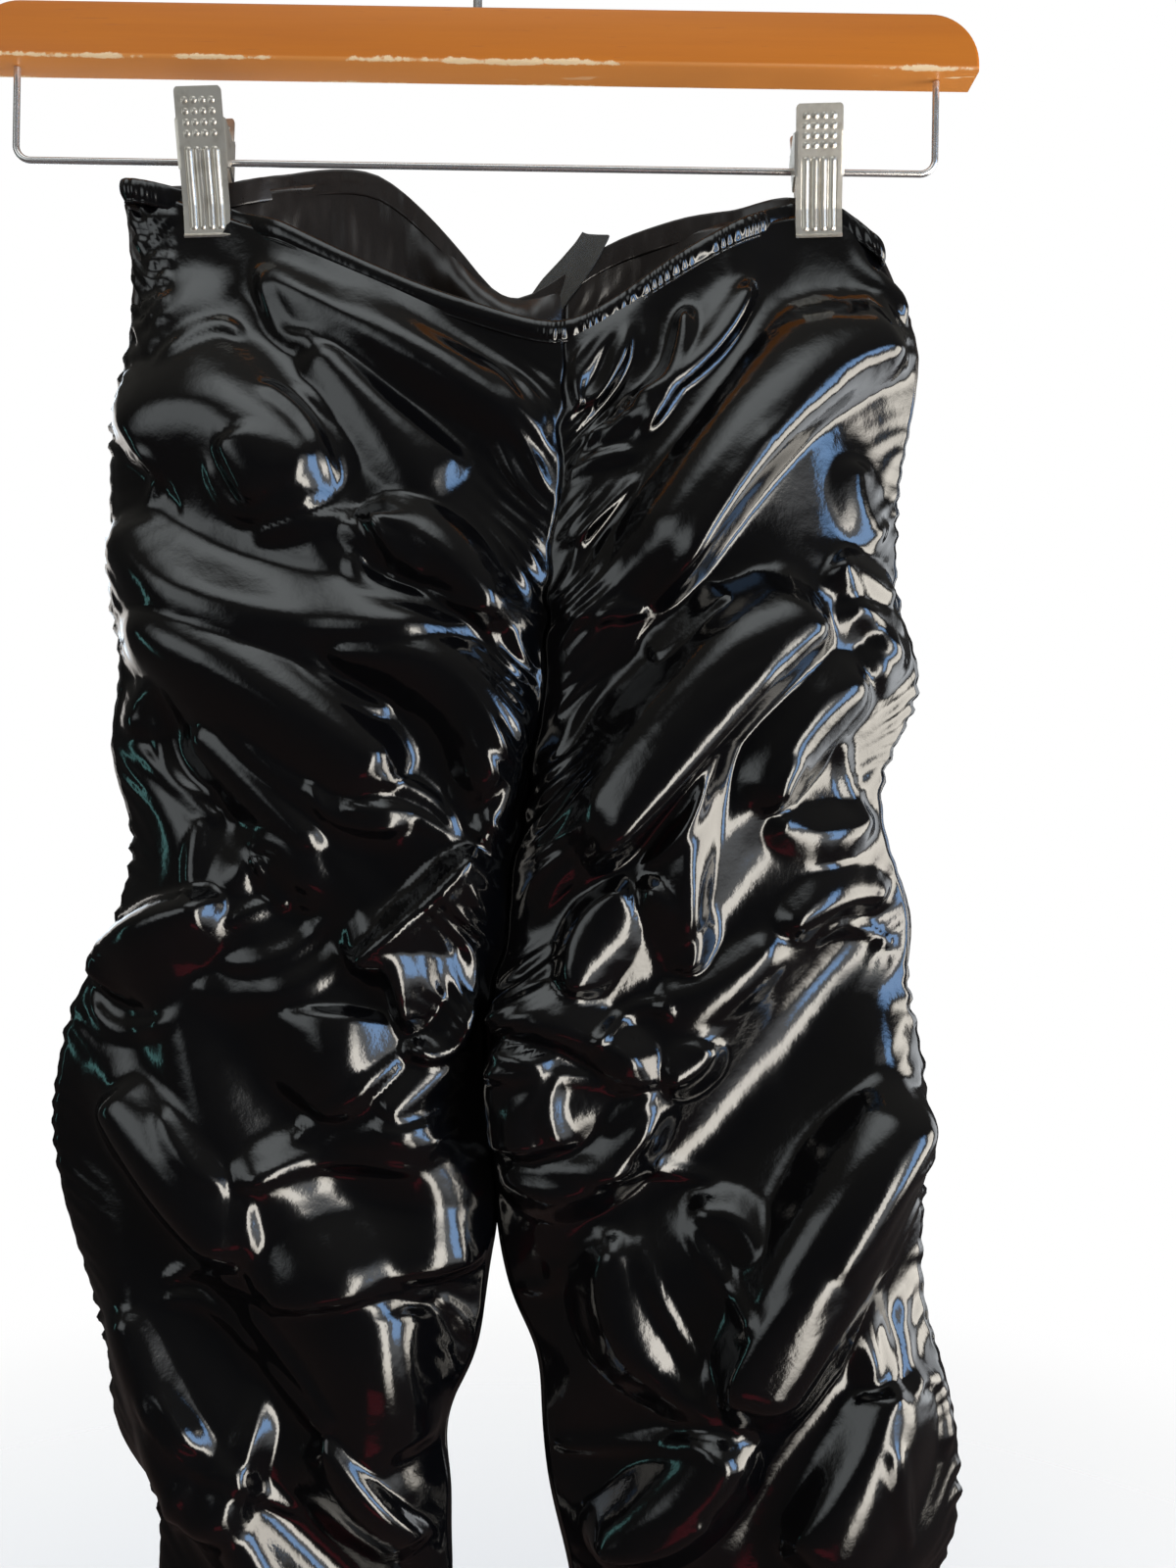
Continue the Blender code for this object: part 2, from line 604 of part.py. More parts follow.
        # Weights that make a curve through a fold's start, middle and end.
        to_start, to_middle = (1 - shares) * (1 - 2 * shares), 4 * shares * (1 - shares)
        to_end = shares * (2 * shares - 1)
        for row in self.folds[1:]:
            fold = dict(zip(self.folds[0], row))
            nearest, along, hand = np.full_like(x, 1e9), np.zeros_like(x), np.ones_like(x)
            spots_x = fold["x0"] * to_start + fold["x1"] * to_middle + fold["x2"] * to_end
            spots_z = fold["z0"] * to_start + fold["z1"] * to_middle + fold["z2"] * to_end
            for step in range(FOLD_STEPS):
                run_x, run_z = spots_x[step + 1] - spots_x[step], spots_z[step + 1] - spots_z[step]
                off_x, off_z = x - spots_x[step], z - spots_z[step]
                share = ((off_x * run_x + off_z * run_z) / (run_x**2 + run_z**2)).clip(0.0, 1.0)
                gap = np.hypot(off_x - share * run_x, off_z - share * run_z)
                closer = gap < nearest
                nearest = np.where(closer, gap, nearest)
                along = np.where(closer, (step + share) / FOLD_STEPS, along)
                hand = np.where(closer, np.sign(run_x * off_z - run_z * off_x), hand)
            spread = np.where(hand > 0, fold["left"], fold["right"])
            reach = np.hypot(nearest / spread, CREST_ROUND) - CREST_ROUND
            slope = (1.0 - reach / (math.hypot(1.0, CREST_ROUND) - CREST_ROUND)).clip(0.0)
            taper = smooth(-0.05, 0.2, along) * smooth(1.05, 0.75, along)
            height = height + fold["height"] * slope * taper
        return height

    def waist_row(self, across, hang, relief):
        """Points along the waist, level with its edge, with the casing's gathers."""
        level = np.full_like(across, hang)
        spots, out = self.base(across, level), self.normal(across, level)
        out[:, 2] = 0.0
        out /= np.linalg.norm(out, axis=1, keepdims=True)
        return spots + out * (relief * self.pinch(spots[:, 0], spots[:, 2]))[:, None]

    def surface(self, across, hang, relief):
        """Points of the cloth's outer face, with its folds and the given relief of gathers."""
        base, out = self.base(across, hang), self.normal(across, hang)
        side_z, middle_z = self.heights(hang)
        side_x = between(self.side_line, "z", "x", side_z)
        from_side = np.abs(base[..., 0] - side_x)
        from_middle = np.abs(base[..., 0] - self.middle_x(middle_z))
        near_seam = smooth(0.0, 14.0, from_side) * smooth(0.0, 14.0, from_middle)
        near_waist = smooth(0.006, 0.03, hang)
        open_by = self.pinch(base[..., 0], base[..., 2])
        folds = self.fold_height(base[..., 0], base[..., 2]) * near_seam * near_waist * open_by
        return base + out * (folds + relief * near_waist * open_by)[..., None]


def panel_columns(cloth, face):
    """A panel's columns from the side seam to the middle, each a list of shares across,
    shares of the hang, and gather heights."""
    crotch_share = (cloth.middle_top - CROTCH) / (cloth.middle_top - HEM)
    side_rows = np.linspace(FIRST_ROW_SHARE, 1.0, 2 * SIDE_GATHERS + 1)
    rise_rows = np.linspace(FIRST_ROW_SHARE, crotch_share, 2 * RISE_GATHERS + 1)
    inner_rows = np.concatenate([rise_rows, np.linspace(crotch_share, 1.0, INSEAM_ROWS + 1)[1:]])
    upper, lower = PANEL_ROWS[face]
    folded_rows = np.linspace(FIRST_ROW_SHARE, FOLDED_SHARE, upper + 1)
    coarse_rows = np.concatenate([folded_rows, np.linspace(FOLDED_SHARE, 1.0, lower + 1)[1:]])
    found = []
    for distance in SEAM_COLUMNS:
        gathers = GATHER_HEIGHT * (distance / GATHER_COLUMN) ** 2
        swell = 1.0 + 0.35 * np.sin(1.9 * np.arange(len(side_rows)))
        relief = gathers * swell * np.where(np.arange(len(side_rows)) % 2, 1.0, -0.4)
        found.append((distance / cloth.width(side_rows), side_rows, relief))
    for share in PANEL_COLUMNS[face]:
        found.append((np.full(len(coarse_rows), share), coarse_rows, np.zeros(len(coarse_rows))))
    for distance in reversed(SEAM_COLUMNS):
        gathers = GATHER_HEIGHT * (distance / GATHER_COLUMN) ** 2
        swell = 1.0 + 0.35 * np.sin(2.3 * np.arange(len(inner_rows)))
        on_rise = np.arange(len(inner_rows)) < 2 * RISE_GATHERS - 3
        relief = gathers * swell * np.where(np.arange(len(inner_rows)) % 2, 1.0, -0.4) * on_rise
        found.append((1.0 - distance / cloth.width(inner_rows), inner_rows, relief))
    return found


def zipped(first, second, first_shares, second_shares):
    """Triangles between two columns of points that may have different numbers of rows."""
    faces, low, high = [], 0, 0
    while low < len(first) - 1 or high < len(second) - 1:
        step_first = high == len(second) - 1 or (
            low < len(first) - 1 and first_shares[low + 1] <= second_shares[high + 1]
        )
        if step_first:
            faces.append((first[low], first[low + 1], second[high]))
            low += 1
        else:
            faces.append((first[low], second[high + 1], second[high]))
            high += 1
    return faces


def straight_in(line, facing):
    """Directions square to a seam's line, in the plane that holds the line's fall and facing."""
    facing = np.array(facing)
    run = np.gradient(line, axis=0)
    sideways = run @ facing
    found = facing[None, :] * np.abs(run[:, 2:3]) + np.outer(sideways, (0.0, 0.0, 1.0))
    return found / np.linalg.norm(found, axis=1, keepdims=True)


def corner_normals(points, faces):
    """Outward directions at a skin's points, from the triangles round each."""
    corners = points[np.array(faces)]
    across = np.cross(corners[:, 1] - corners[:, 0], corners[:, 2] - corners[:, 0])
    found = np.zeros_like(points)
    for place in range(3):
        np.add.at(found, np.array(faces)[:, place], across)
    return found / np.linalg.norm(found, axis=1, keepdims=True).clip(1e-9)


def walled(name, outer, inner, faces, rim, finish):
    """A closed wall from an outer skin, its inner skin and the rim's points in order."""
    count = len(outer)
    every = list(faces) + [tuple(count + spot for spot in face[::-1]) for face in faces]
    for here, after in zip(rim, rim[1:] + rim[:1]):
        every += [(here, after, count + after), (here, count + after, count + here)]
    return solid_from(name, np.concatenate([outer, inner]), every, finish)


def waist_shares(cloth):
    """Shares across a panel where the casing's gathers stand up or sink in."""
    return np.linspace(0.0, 1.0, int(round(float(cloth.width(0.0)) / CASING_COLUMN)) + 1)


def waist_ripple(shares):
    """Height of the casing's gathers, none at the side seam or at the middle."""
    place = np.arange(len(shares))
    ripple = CASING_GATHER_HEIGHT * (place % 2) * (1.0 + 0.4 * np.sin(2.6 * place))
    return ripple * smooth(0.0, 0.1, shares) * smooth(1.0, 0.97, shares)


def add_panel(hand, face):
    """One leg panel, from the waist to the hem, cut with its half of the seat."""
    cloth = Cloth(hand, face)
    columns = panel_columns(cloth, face)
    across = waist_shares(cloth)
    top_row = cloth.waist_row(across, CASING_SHARE, waist_ripple(across))
    outer = np.concatenate([top_row] + [cloth.surface(*one) for one in columns])
    starts = np.cumsum([len(top_row)] + [len(one[1]) for one in columns])
    top = list(range(len(top_row)))
    spots = [list(range(starts[i], starts[i + 1])) for i in range(len(columns))]
    first_row = [one[0] for one in spots]
    faces = zipped(top, first_row, across, [one[0][0] for one in columns])
    for here in range(len(columns) - 1):
        strip = zipped(spots[here], spots[here + 1], columns[here][1], columns[here + 1][1])
        faces += [triangle[::-1] for triangle in strip]

    # The wall's thickness goes inwards. On a seam it goes straight in, alike on both pieces.
    inward = -corner_normals(outer, faces)
    if np.sum(inward[:, 1] * cloth.turned) > 0:
        inward = -inward
    side_seam, middle_seam = [top[0]] + spots[0], [top[-1]] + spots[-1]
    hangs = np.concatenate([[CASING_SHARE], columns[-1][1]])
    inward[side_seam] = straight_in(outer[side_seam], (-cloth.side, 0.0, 0.0))
    _, middle_z = cloth.heights(hangs)
    on_rise = straight_in(outer[middle_seam], (0.0, -cloth.turned, 0.0))
    on_inseam = straight_in(outer[middle_seam], (cloth.side, 0.0, 0.0))
    at_crotch = np.abs(middle_z - CROTCH) < 1.0
    on_rise[at_crotch] = (0.0, 0.0, 1.0)
    on_inseam[at_crotch] = (cloth.side, 0.0, 0.0)
    below = np.clip((CROTCH + 1.0 - middle_z) / 2.0, 0.0, 1.0)[:, None]
    seam = on_rise * (1.0 - below) + on_inseam * below
    inward[middle_seam] = seam / np.linalg.norm(seam, axis=1, keepdims=True)
    level = top + [one[-1] for one in spots]
    inward[level, 2] = 0.0
    inward[level] /= np.linalg.norm(inward[level], axis=1, keepdims=True)
    # Half the seam's gap is already between front and back, and half the rise's comes here.
    outer[middle_seam, 0] += np.where(middle_z >= CROTCH, cloth.side * SEAM_GAP / 2, 0.0)
    inner = outer + WALL * inward

    hem = [one[-1] for one in spots[1:-1]]
    rim = side_seam + hem + middle_seam[::-1] + top[-2:0:-1]
    walled(f"{face}_leg_{hand}", outer, inner, faces, rim, BLACK_VINYL)


def add_casing(face):
    """The front or back half of the waist casing, a folded tunnel gathered on its elastic."""
    hangs = (0.0, CASING_SHARE / 2, CASING_SHARE - SEAM_GAP / (BACK_EDGE[1][1] - HEM))
    outer, inward = [], []
    for hand in ("right", "left"):
        cloth = Cloth(hand, face)
        across = waist_shares(cloth)
        ripple = waist_ripple(across)
        rows = [cloth.waist_row(across, hang, ripple * swell) for hang, swell in zip(hangs, CASING_SWELL)]
        rows = np.stack(rows, axis=1)
        out = cloth.normal(across, np.zeros_like(across))
        out[:, 2] = 0.0
        out[0] = (cloth.side, 0.0, 0.0)
        out = np.repeat(out[:, None, :] / np.linalg.norm(out, axis=1)[:, None, None], len(hangs), axis=1)
        order = slice(None) if hand == "right" else slice(-2, None, -1)
        outer.append(rows[order])
        inward.append(-out[order])
    outer, inward = np.concatenate(outer), np.concatenate(inward)
    columns, rows = outer.shape[:2]
    outer, inward = outer.reshape(-1, 3), inward.reshape(-1, 3)
    inner = outer + CASING_WALL * inward
    faces = []
    for place in range(columns - 1):
        for row in range(rows - 1):
            corner = place * rows + row
            faces.append((corner, corner + 1, corner + rows + 1))
            faces.append((corner, corner + rows + 1, corner + rows))
    top = [place * rows for place in range(columns)]
    foot = [place * rows + rows - 1 for place in range(columns)]
    ends = list(range(1, rows - 1))
    rim = top + [top[-1] + place for place in ends] + foot[::-1] + ends[::-1]
    walled(f"waist_casing_{face}", outer, inner, faces, rim, BLACK_VINYL)


def add_ribbon():
    """The flat ribbon that is sewn inside the back waist and sticks up past it."""
    spots = np.stack([column(RIBBON, name) for name in ("x", "y", "z")], axis=1)
    widths = column(RIBBON, "width")
    heading = np.gradient(spots, axis=0)
    heading /= np.linalg.norm(heading, axis=1, keepdims=True)
    through = np.array([0.0, 1.0, 0.0])
    sideways = np.cross(through, heading)
    sideways /= np.linalg.norm(sideways, axis=1, keepdims=True)
    points = []
    for place, spot in enumerate(spots):
        slant = heading[place] * RIBBON_SLANT * (place == len(spots) - 1)
        edge = sideways[place] * widths[place] / 2 + slant
        for side, layer in ((-1, -1), (1, -1), (1, 1), (-1, 1)):
            points.append(spot + edge * side + through * layer * RIBBON_WALL / 2)
    faces = [(0, 1, 2, 3), tuple(range(len(points) - 1, len(points) - 5, -1))]
    for place in range(len(spots) - 1):
        for side in range(4):
            here, beside = 4 * place + side, 4 * place + (side + 1) % 4
            faces.append((here, beside, beside + 4, here + 4))
    solid_from("waist_ribbon", points, faces, OLIVE_TAPE)


def main():
    for old in list(bpy.data.objects):
        bpy.data.objects.remove(old)
    add_bar()
    add_hook()
    add_rod()
    for hand, x, lean in CLIPS[1:]:
        for face in ("front", "back"):
            add_plate(f"clip_{hand}_{face}", x, lean, face)
        add_spring(f"clip_{hand}_spring", x)
    for face in ("front", "back"):
        for hand in ("right", "left"):
            add_panel(hand, face)
        add_casing(face)
    add_ribbon()


main()
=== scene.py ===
"""Ruched vinyl trousers on a wooden clip hanger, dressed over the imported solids."""

import math

import bmesh
import bpy
import numpy as np
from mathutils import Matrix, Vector


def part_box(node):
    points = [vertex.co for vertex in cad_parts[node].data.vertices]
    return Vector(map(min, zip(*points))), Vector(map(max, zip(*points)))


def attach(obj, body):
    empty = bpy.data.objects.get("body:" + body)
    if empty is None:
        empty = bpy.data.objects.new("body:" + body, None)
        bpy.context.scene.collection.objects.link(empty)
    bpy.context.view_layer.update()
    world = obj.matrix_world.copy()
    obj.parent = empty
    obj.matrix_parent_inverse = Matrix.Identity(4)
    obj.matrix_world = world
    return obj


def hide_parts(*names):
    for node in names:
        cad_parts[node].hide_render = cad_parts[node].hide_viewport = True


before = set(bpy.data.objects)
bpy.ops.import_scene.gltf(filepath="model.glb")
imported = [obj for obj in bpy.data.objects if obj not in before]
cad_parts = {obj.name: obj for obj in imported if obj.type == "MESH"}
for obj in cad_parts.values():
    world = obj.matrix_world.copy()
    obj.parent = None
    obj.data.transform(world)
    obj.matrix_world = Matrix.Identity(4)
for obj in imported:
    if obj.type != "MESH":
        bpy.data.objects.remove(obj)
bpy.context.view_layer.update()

# ---------------------------------------------------------------------------------------
# The view: level, 520 mm in front of the hanger and 400 mm under the crown of its hook,
# with the picture rolled a little.
# ---------------------------------------------------------------------------------------
CAMERA_PLACE = (0.050, -0.520, -0.400)
CAMERA_LENS = 29.25
CAMERA_ROLL = -0.9

scene = bpy.context.scene
for name in ("Cube", "Light", "Camera"):
    spare = bpy.data.objects.get(name)
    if spare:
        bpy.data.objects.remove(spare)

camera_data = bpy.data.cameras.new("camera")
camera_data.lens = CAMERA_LENS
camera_data.sensor_width = 36.0
camera = bpy.data.objects.new("camera", camera_data)
camera.location = CAMERA_PLACE
camera.rotation_euler = (math.radians(90), math.radians(CAMERA_ROLL), 0)
scene.collection.objects.link(camera)
scene.camera = camera
scene.view_settings.view_transform = "Standard"


# ---------------------------------------------------------------------------------------
# The studio: a pale floor that fades into a white surround, and soft lights that stand in
# for the windows, walls and ceiling that the vinyl mirrors, most of them on the right.
# ---------------------------------------------------------------------------------------
class Wire:
    """A shader value that adds its Math nodes as expressions are written."""

    def __init__(self, nodes, socket):
        self.nodes = nodes
        self.socket = socket

    def math(self, operation, *values):
        return self.nodes.add("ShaderNodeMath", {"operation": operation}, dict(enumerate(values)))

    def __add__(self, other):
        return self.math("ADD", self, other)

    __radd__ = __add__

    def __sub__(self, other):
        return self.math("SUBTRACT", self, other)

    def __rsub__(self, other):
        return self.math("SUBTRACT", other, self)

    def __mul__(self, other):
        return self.math("MULTIPLY", self, other)

    __rmul__ = __mul__

    def __pow__(self, other):
        return self.math("POWER", self, other)

    def __abs__(self):
        return self.math("ABSOLUTE", self)

    def most(self, other):
        return self.math("MAXIMUM", self, other)

    def step(self, low, high):
        """A soft step from 0 at low to 1 at high."""
        return self.nodes.add(
            "ShaderNodeMapRange",
            {"interpolation_type": "SMOOTHSTEP"},
            {"Value": self, "From Min": low, "From Max": high},
        )


class Nodes:
    """The node tree of one material, of a light or of the world."""

    def __init__(self, owner):
        owner.use_nodes = True
        self.tree = owner.node_tree

    def add(self, kind, settings=None, values=None, output=0):
        """One node, with its settings made first and then its sockets set or linked."""
        node = self.tree.nodes.new(kind)
        for name, setting in (settings or {}).items():
            if name == "stops":
                ramp = node.color_ramp
                while len(ramp.elements) > 1:
                    ramp.elements.remove(ramp.elements[-1])
                for place, (spot, colour) in enumerate(setting):
                    stop = ramp.elements[0] if place == 0 else ramp.elements.new(spot)
                    stop.position = spot
                    stop.color = (*colour, 1.0)
            else:
                setattr(node, name, setting)
        for name, value in (values or {}).items():
            socket = node.inputs[name]
            if isinstance(value, Wire):
                self.tree.links.new(value.socket, socket)
            else:
                socket.default_value = value
        return Wire(self, node.outputs[output] if node.outputs else None)

    def place(self):
        """A place in the object's own coordinates, in metres."""
        return self.add("ShaderNodeTexCoord", output="Object")

    def part(self, vector, axis):
        return self.add("ShaderNodeSeparateXYZ", None, {"Vector": vector}, output=axis)

    def noise(self, vector, scale, detail=3.0, roughness=0.5, stretch=None):
        if stretch:
            vector = self.add("ShaderNodeVectorMath", {"operation": "MULTIPLY"}, {0: vector, 1: stretch})
        values = {"Vector": vector, "Scale": scale, "Detail": detail, "Roughness": roughness}
        return self.add("ShaderNodeTexNoise", None, values)

    def blend(self, first, second, share):
        """A colour between two colours."""
        return self.add("ShaderNodeMix", {"data_type": "RGBA"}, {"A": first, "B": second, "Factor": share}, 2)

    def bump(self, height, distance, strength):
        values = {"Height": height, "Distance": distance, "Strength": strength}
        return self.add("ShaderNodeBump", None, values)


def finish_material(name, settings, links):
    """A material whose shader has these fixed settings, and whose other sockets are linked by
    a function that is given the nodes."""
    made = bpy.data.materials.new(name)
    nodes = Nodes(made)
    shader = nodes.tree.nodes["Principled BSDF"]
    for socket, value in settings.items():
        shader.inputs[socket].default_value = value
    for socket, wire in links(nodes).items():
        nodes.tree.links.new(wire.socket, shader.inputs[socket])
    return made


FLOOR_PLACE = (0, 0, -1.165)
FLOOR_RADIUS = 2.4
FLOOR_FADE = (0.35, 1.5)
FLOOR_COLOUR = (0.86, 0.86, 0.87, 1.0)

bpy.ops.object.select_all(action="DESELECT")
bpy.ops.mesh.primitive_circle_add(vertices=96, radius=FLOOR_RADIUS, fill_type="NGON", location=FLOOR_PLACE)
floor = bpy.context.object
floor.name = "floor"
bpy.ops.object.transform_apply(location=True, rotation=True, scale=True)


def floor_finish(nodes):
    spot = nodes.place()
    x, y = nodes.part(spot, "X"), nodes.part(spot, "Y")
    away = (x * x + y * y) ** 0.5
    return {"Alpha": 1 - away.step(*FLOOR_FADE)}


floor.data.materials.append(
    finish_material("pale floor", {"Base Color": FLOOR_COLOUR, "Roughness": 0.6}, floor_finish)
)
floor.visible_glossy = False

SURROUND_WHITE = (1.0, 1.0, 1.0, 1.0)
MATT_LIGHT = 0.45
ROOM_SHADES = [
    (0.0, (0.080, 0.050, 0.044)),
    (0.30, (0.050, 0.044, 0.042)),
    (0.50, (0.036, 0.036, 0.036)),
    (0.70, (0.070, 0.068, 0.062)),
    (1.0, (0.150, 0.145, 0.130)),
]

world = bpy.data.worlds.new("studio")
scene.world = world
nodes = Nodes(world)
nodes.tree.nodes.clear()
height = nodes.part(nodes.add("ShaderNodeTexCoord", output="Generated"), "Z")
room = nodes.add("ShaderNodeValToRGB", {"stops": ROOM_SHADES}, {"Fac": height * 0.5 + 0.5})
mirrored = nodes.add("ShaderNodeBackground", None, {"Color": room})
matt = nodes.add("ShaderNodeBackground", None, {"Color": SURROUND_WHITE, "Strength": MATT_LIGHT})
plain = nodes.add("ShaderNodeBackground", None, {"Color": SURROUND_WHITE})
rays = {ray: nodes.add("ShaderNodeLightPath", output=f"Is {ray} Ray") for ray in ("Camera", "Diffuse")}
lit = nodes.add("ShaderNodeMixShader", None, {0: rays["Diffuse"], 1: mirrored, 2: matt})
whole = nodes.add("ShaderNodeMixShader", None, {0: rays["Camera"], 1: lit, 2: plain})
nodes.add("ShaderNodeOutputWorld", None, {"Surface": whole})

# Soft-edged lights round the room. Azimuth runs from the camera's side to the right, in
# degrees like the elevation. Widths and heights are in metres, fade is how much of each
# half fades out, and a barred light is crossed by a window's post and rails.
LIGHT_AIM = (0.03, 0.0, -0.42)
LIGHT_DISTANCE = 2.0
WINDOW_POST = (0.03, 0.06)
WINDOW_RAIL, WINDOW_RAIL_HALF = 0.42, (0.02, 0.04)
# These two show in gloss alone, and don't brighten the wood.
GLOSS_LIGHTS = ("glass_door", "right_wall")
LIGHTS = [
    ("name", "azimuth", "elevation", "width", "height", "fade", "barred", "radiance", "colour"),
    ("glass_door", 34, -16, 0.6, 2.6, 0.6, False, 11.5, (1.0, 0.94, 0.84)),
    ("right_wall", 46, -4, 1.9, 2.6, 0.6, False, 1.6, (0.95, 0.98, 1.0)),
    ("window", 56, 4, 0.6, 1.8, 0.45, False, 7.0, (0.24, 0.52, 1.0)),
    ("bright_window", 82, -4, 1.1, 2.0, 0.5, False, 10.0, (1.0, 0.94, 0.84)),
    ("far_window", 114, 0, 1.2, 2.2, 0.5, False, 2.4, (0.92, 0.96, 1.0)),
    ("ceiling", -14, 62, 2.4, 1.6, 0.8, False, 1.9, (0.92, 0.98, 1.0)),
    ("left_wall", -46, 14, 1.8, 1.6, 0.7, False, 1.45, (0.92, 0.98, 1.0)),
    ("plant", -84, -4, 0.2, 0.9, 0.6, False, 1.8, (0.35, 0.88, 0.86)),
    ("rug", 6, -50, 0.9, 0.4, 0.6, False, 0.9, (0.50, 0.03, 0.06)),
    ("back_window", 205, 14, 1.4, 1.6, 0.5, True, 3.0, (0.80, 0.90, 1.0)),
    ("back_left", -132, 8, 0.7, 1.5, 0.6, False, 1.4, (1.0, 0.95, 0.90)),
]
for name, azimuth, elevation, width, height, fade, barred, radiance, colour in LIGHTS[1:]:
    turn, lift = math.radians(azimuth), math.radians(elevation)
    away = Vector((math.sin(turn) * math.cos(lift), -math.cos(turn) * math.cos(lift), math.sin(lift)))
    data = bpy.data.lights.new(name, "AREA")
    data.shape = "RECTANGLE"
    data.size, data.size_y = width, height
    data.energy = radiance * math.pi * width * height
    data.color = colour
    nodes = Nodes(data)
    spot = nodes.add("ShaderNodeNewGeometry", output="Parametric")
    over, up = (abs(nodes.part(spot, axis) * 2 - 1) for axis in "XY")
    glow = (1 - over.step(1 - fade, 1.0)) * (1 - up.step(1 - fade, 1.0))
    if barred:
        glow = glow * over.step(*WINDOW_POST) * abs(up - WINDOW_RAIL).step(*WINDOW_RAIL_HALF)
    nodes.tree.links.new(glow.socket, nodes.tree.nodes["Emission"].inputs["Strength"])
    light = bpy.data.objects.new(name, data)
    light.location = Vector(LIGHT_AIM) + away * LIGHT_DISTANCE
    light.rotation_euler = (-away).to_track_quat("-Z", "Y").to_euler()
    light.visible_camera = False
    light.visible_diffuse = name not in GLOSS_LIGHTS
    scene.collection.objects.link(light)

# ---------------------------------------------------------------------------------------
# The hanger's bar: a flat length of beech, rounded at its two upper corners and varnished
# an orange tan. Its lower edges are worn pale where clips and rails have knocked it. Its
# under face is painted paler, standing in for light thrown up onto it from below.
# ---------------------------------------------------------------------------------------
BAR_END_ROUND = 0.01978
BAR_EDGE_ROUND = 0.0016
BAR_CROWN = 0.0025
BAR_TAN = (0.64, 0.180, 0.004, 1.0)
BAR_DARK = (0.48, 0.115, 0.003, 1.0)
# Painted light: the under face's paler, more orange colour stands in for light from below.
BAR_UNDER_LIT = (0.80, 0.29, 0.055, 1.0)
BAR_PALE = (0.95, 0.66, 0.36, 1.0)
# The wear and the painted light, in metres from the lower edges: how far chips and knocks
# reach, where bare wood ends, the band of the under face where light from below is painted
# in, and where along the bar the scrapes grow stronger.
CHIP_REACH, KNOCK_REACH = 0.004, 0.011
BARE_WOOD = (0.0002, 0.0010)
LIT_UNDER_BAND = (0.0008, 0.0016)
SCRAPED_END = (0.12, 0.2)


def made_from(ob, name):
    """The active object, with its place in its mesh, under its own name."""
    ob.name = name
    ob.data.name = name
    bpy.ops.object.select_all(action="DESELECT")
    ob.select_set(True)
    bpy.context.view_layer.objects.active = ob
    bpy.ops.object.transform_apply(location=True, rotation=True, scale=True)
    return ob


def select_edges(ob, wanted):
    """In edit mode, selects the edges whose middle and direction pass a test."""
    bpy.ops.object.mode_set(mode="EDIT")
    bpy.ops.mesh.select_mode(type="EDGE")
    bpy.ops.mesh.select_all(action="DESELECT")
    shape = bmesh.from_edit_mesh(ob.data)
    for edge in shape.edges:
        start, end = (corner.co for corner in edge.verts)
        edge.select_set(bool(wanted((start + end) / 2, (end - start).normalized())))
    bmesh.update_edit_mesh(ob.data)


low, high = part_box("hanger_bar")
high.z += BAR_CROWN
bpy.ops.object.select_all(action="DESELECT")
bpy.ops.mesh.primitive_cube_add(size=1.0, location=(low + high) / 2, scale=high - low)
bar = made_from(bpy.context.object, "varnished_bar")
select_edges(bar, lambda middle, run: abs(run.y) > 0.9 and middle.z > (low.z + high.z) / 2)
bpy.ops.mesh.bevel(offset=BAR_END_ROUND, segments=14, profile=0.5)
select_edges(bar, lambda middle, run: abs(abs(middle.y) - high.y) < 1e-4 and abs(run.y) < 0.1)
bpy.ops.mesh.bevel(offset=BAR_EDGE_ROUND, segments=6, profile=0.5)
bpy.ops.object.mode_set(mode="OBJECT")
bpy.ops.object.shade_smooth_by_angle(angle=math.radians(12))


def bar_finish(nodes):
    spot = nodes.place()
    grain = nodes.noise(spot, 1.0, 5.0, 0.6, stretch=(9, 260, 260))
    broad = nodes.noise(spot, 1.0, 2.0, 0.5, stretch=(6, 30, 30))
    pores = nodes.noise(spot, 1.0, 2.0, 0.5, stretch=(60, 900, 900)).step(0.66, 0.74)
    y, z = nodes.part(spot, "Y"), nodes.part(spot, "Z")
    off_edge = ((abs(y) - high.y) ** 2 + (z - low.z) ** 2) ** 0.5
    chips = nodes.noise(spot, 300.0, 4.0, 0.7)
    knocks = nodes.noise(spot, 1.0, 2.0, 0.5, stretch=(26, 60, 60))
    worn = 1 - (off_edge + (chips - 0.5) * CHIP_REACH - (knocks - 0.5) * KNOCK_REACH).step(*BARE_WOOD)
    # The under face's band, where light from below is painted in; the scrapes keep to it too.
    lit_under_face = 1 - (z - low.z).step(*LIT_UNDER_BAND)
    scrapes = nodes.noise(spot, 1.0, 3.0, 0.55, stretch=(30, 180, 180)).step(0.66, 0.70) * lit_under_face
    scrapes = scrapes * (0.35 + nodes.part(spot, "X").step(*SCRAPED_END) * 0.65)
    worn = worn.most(scrapes)
    tan = nodes.blend(BAR_TAN, BAR_DARK, (grain * 0.55 + broad * 0.6 - 0.25).step(0.0, 1.0))
    # Painted light: the under face is blended towards its paler, lit-from-below colour.
    tan = nodes.blend(nodes.blend(tan, BAR_DARK, pores * 0.6), BAR_UNDER_LIT, lit_under_face * 0.8)
    return {
        "Base Color": nodes.blend(tan, BAR_PALE, worn),
        "Roughness": 0.3 + broad * 0.14 + worn * 0.3,
        "Normal": nodes.bump(grain * 0.5 - pores * 0.3, 0.0002, 0.4),
    }


varnish = {"Coat Weight": 0.12, "Coat Roughness": 0.2}
bar.data.materials.append(finish_material("varnished beech", varnish, bar_finish))
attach(bar, "root")
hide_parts("hanger_bar")

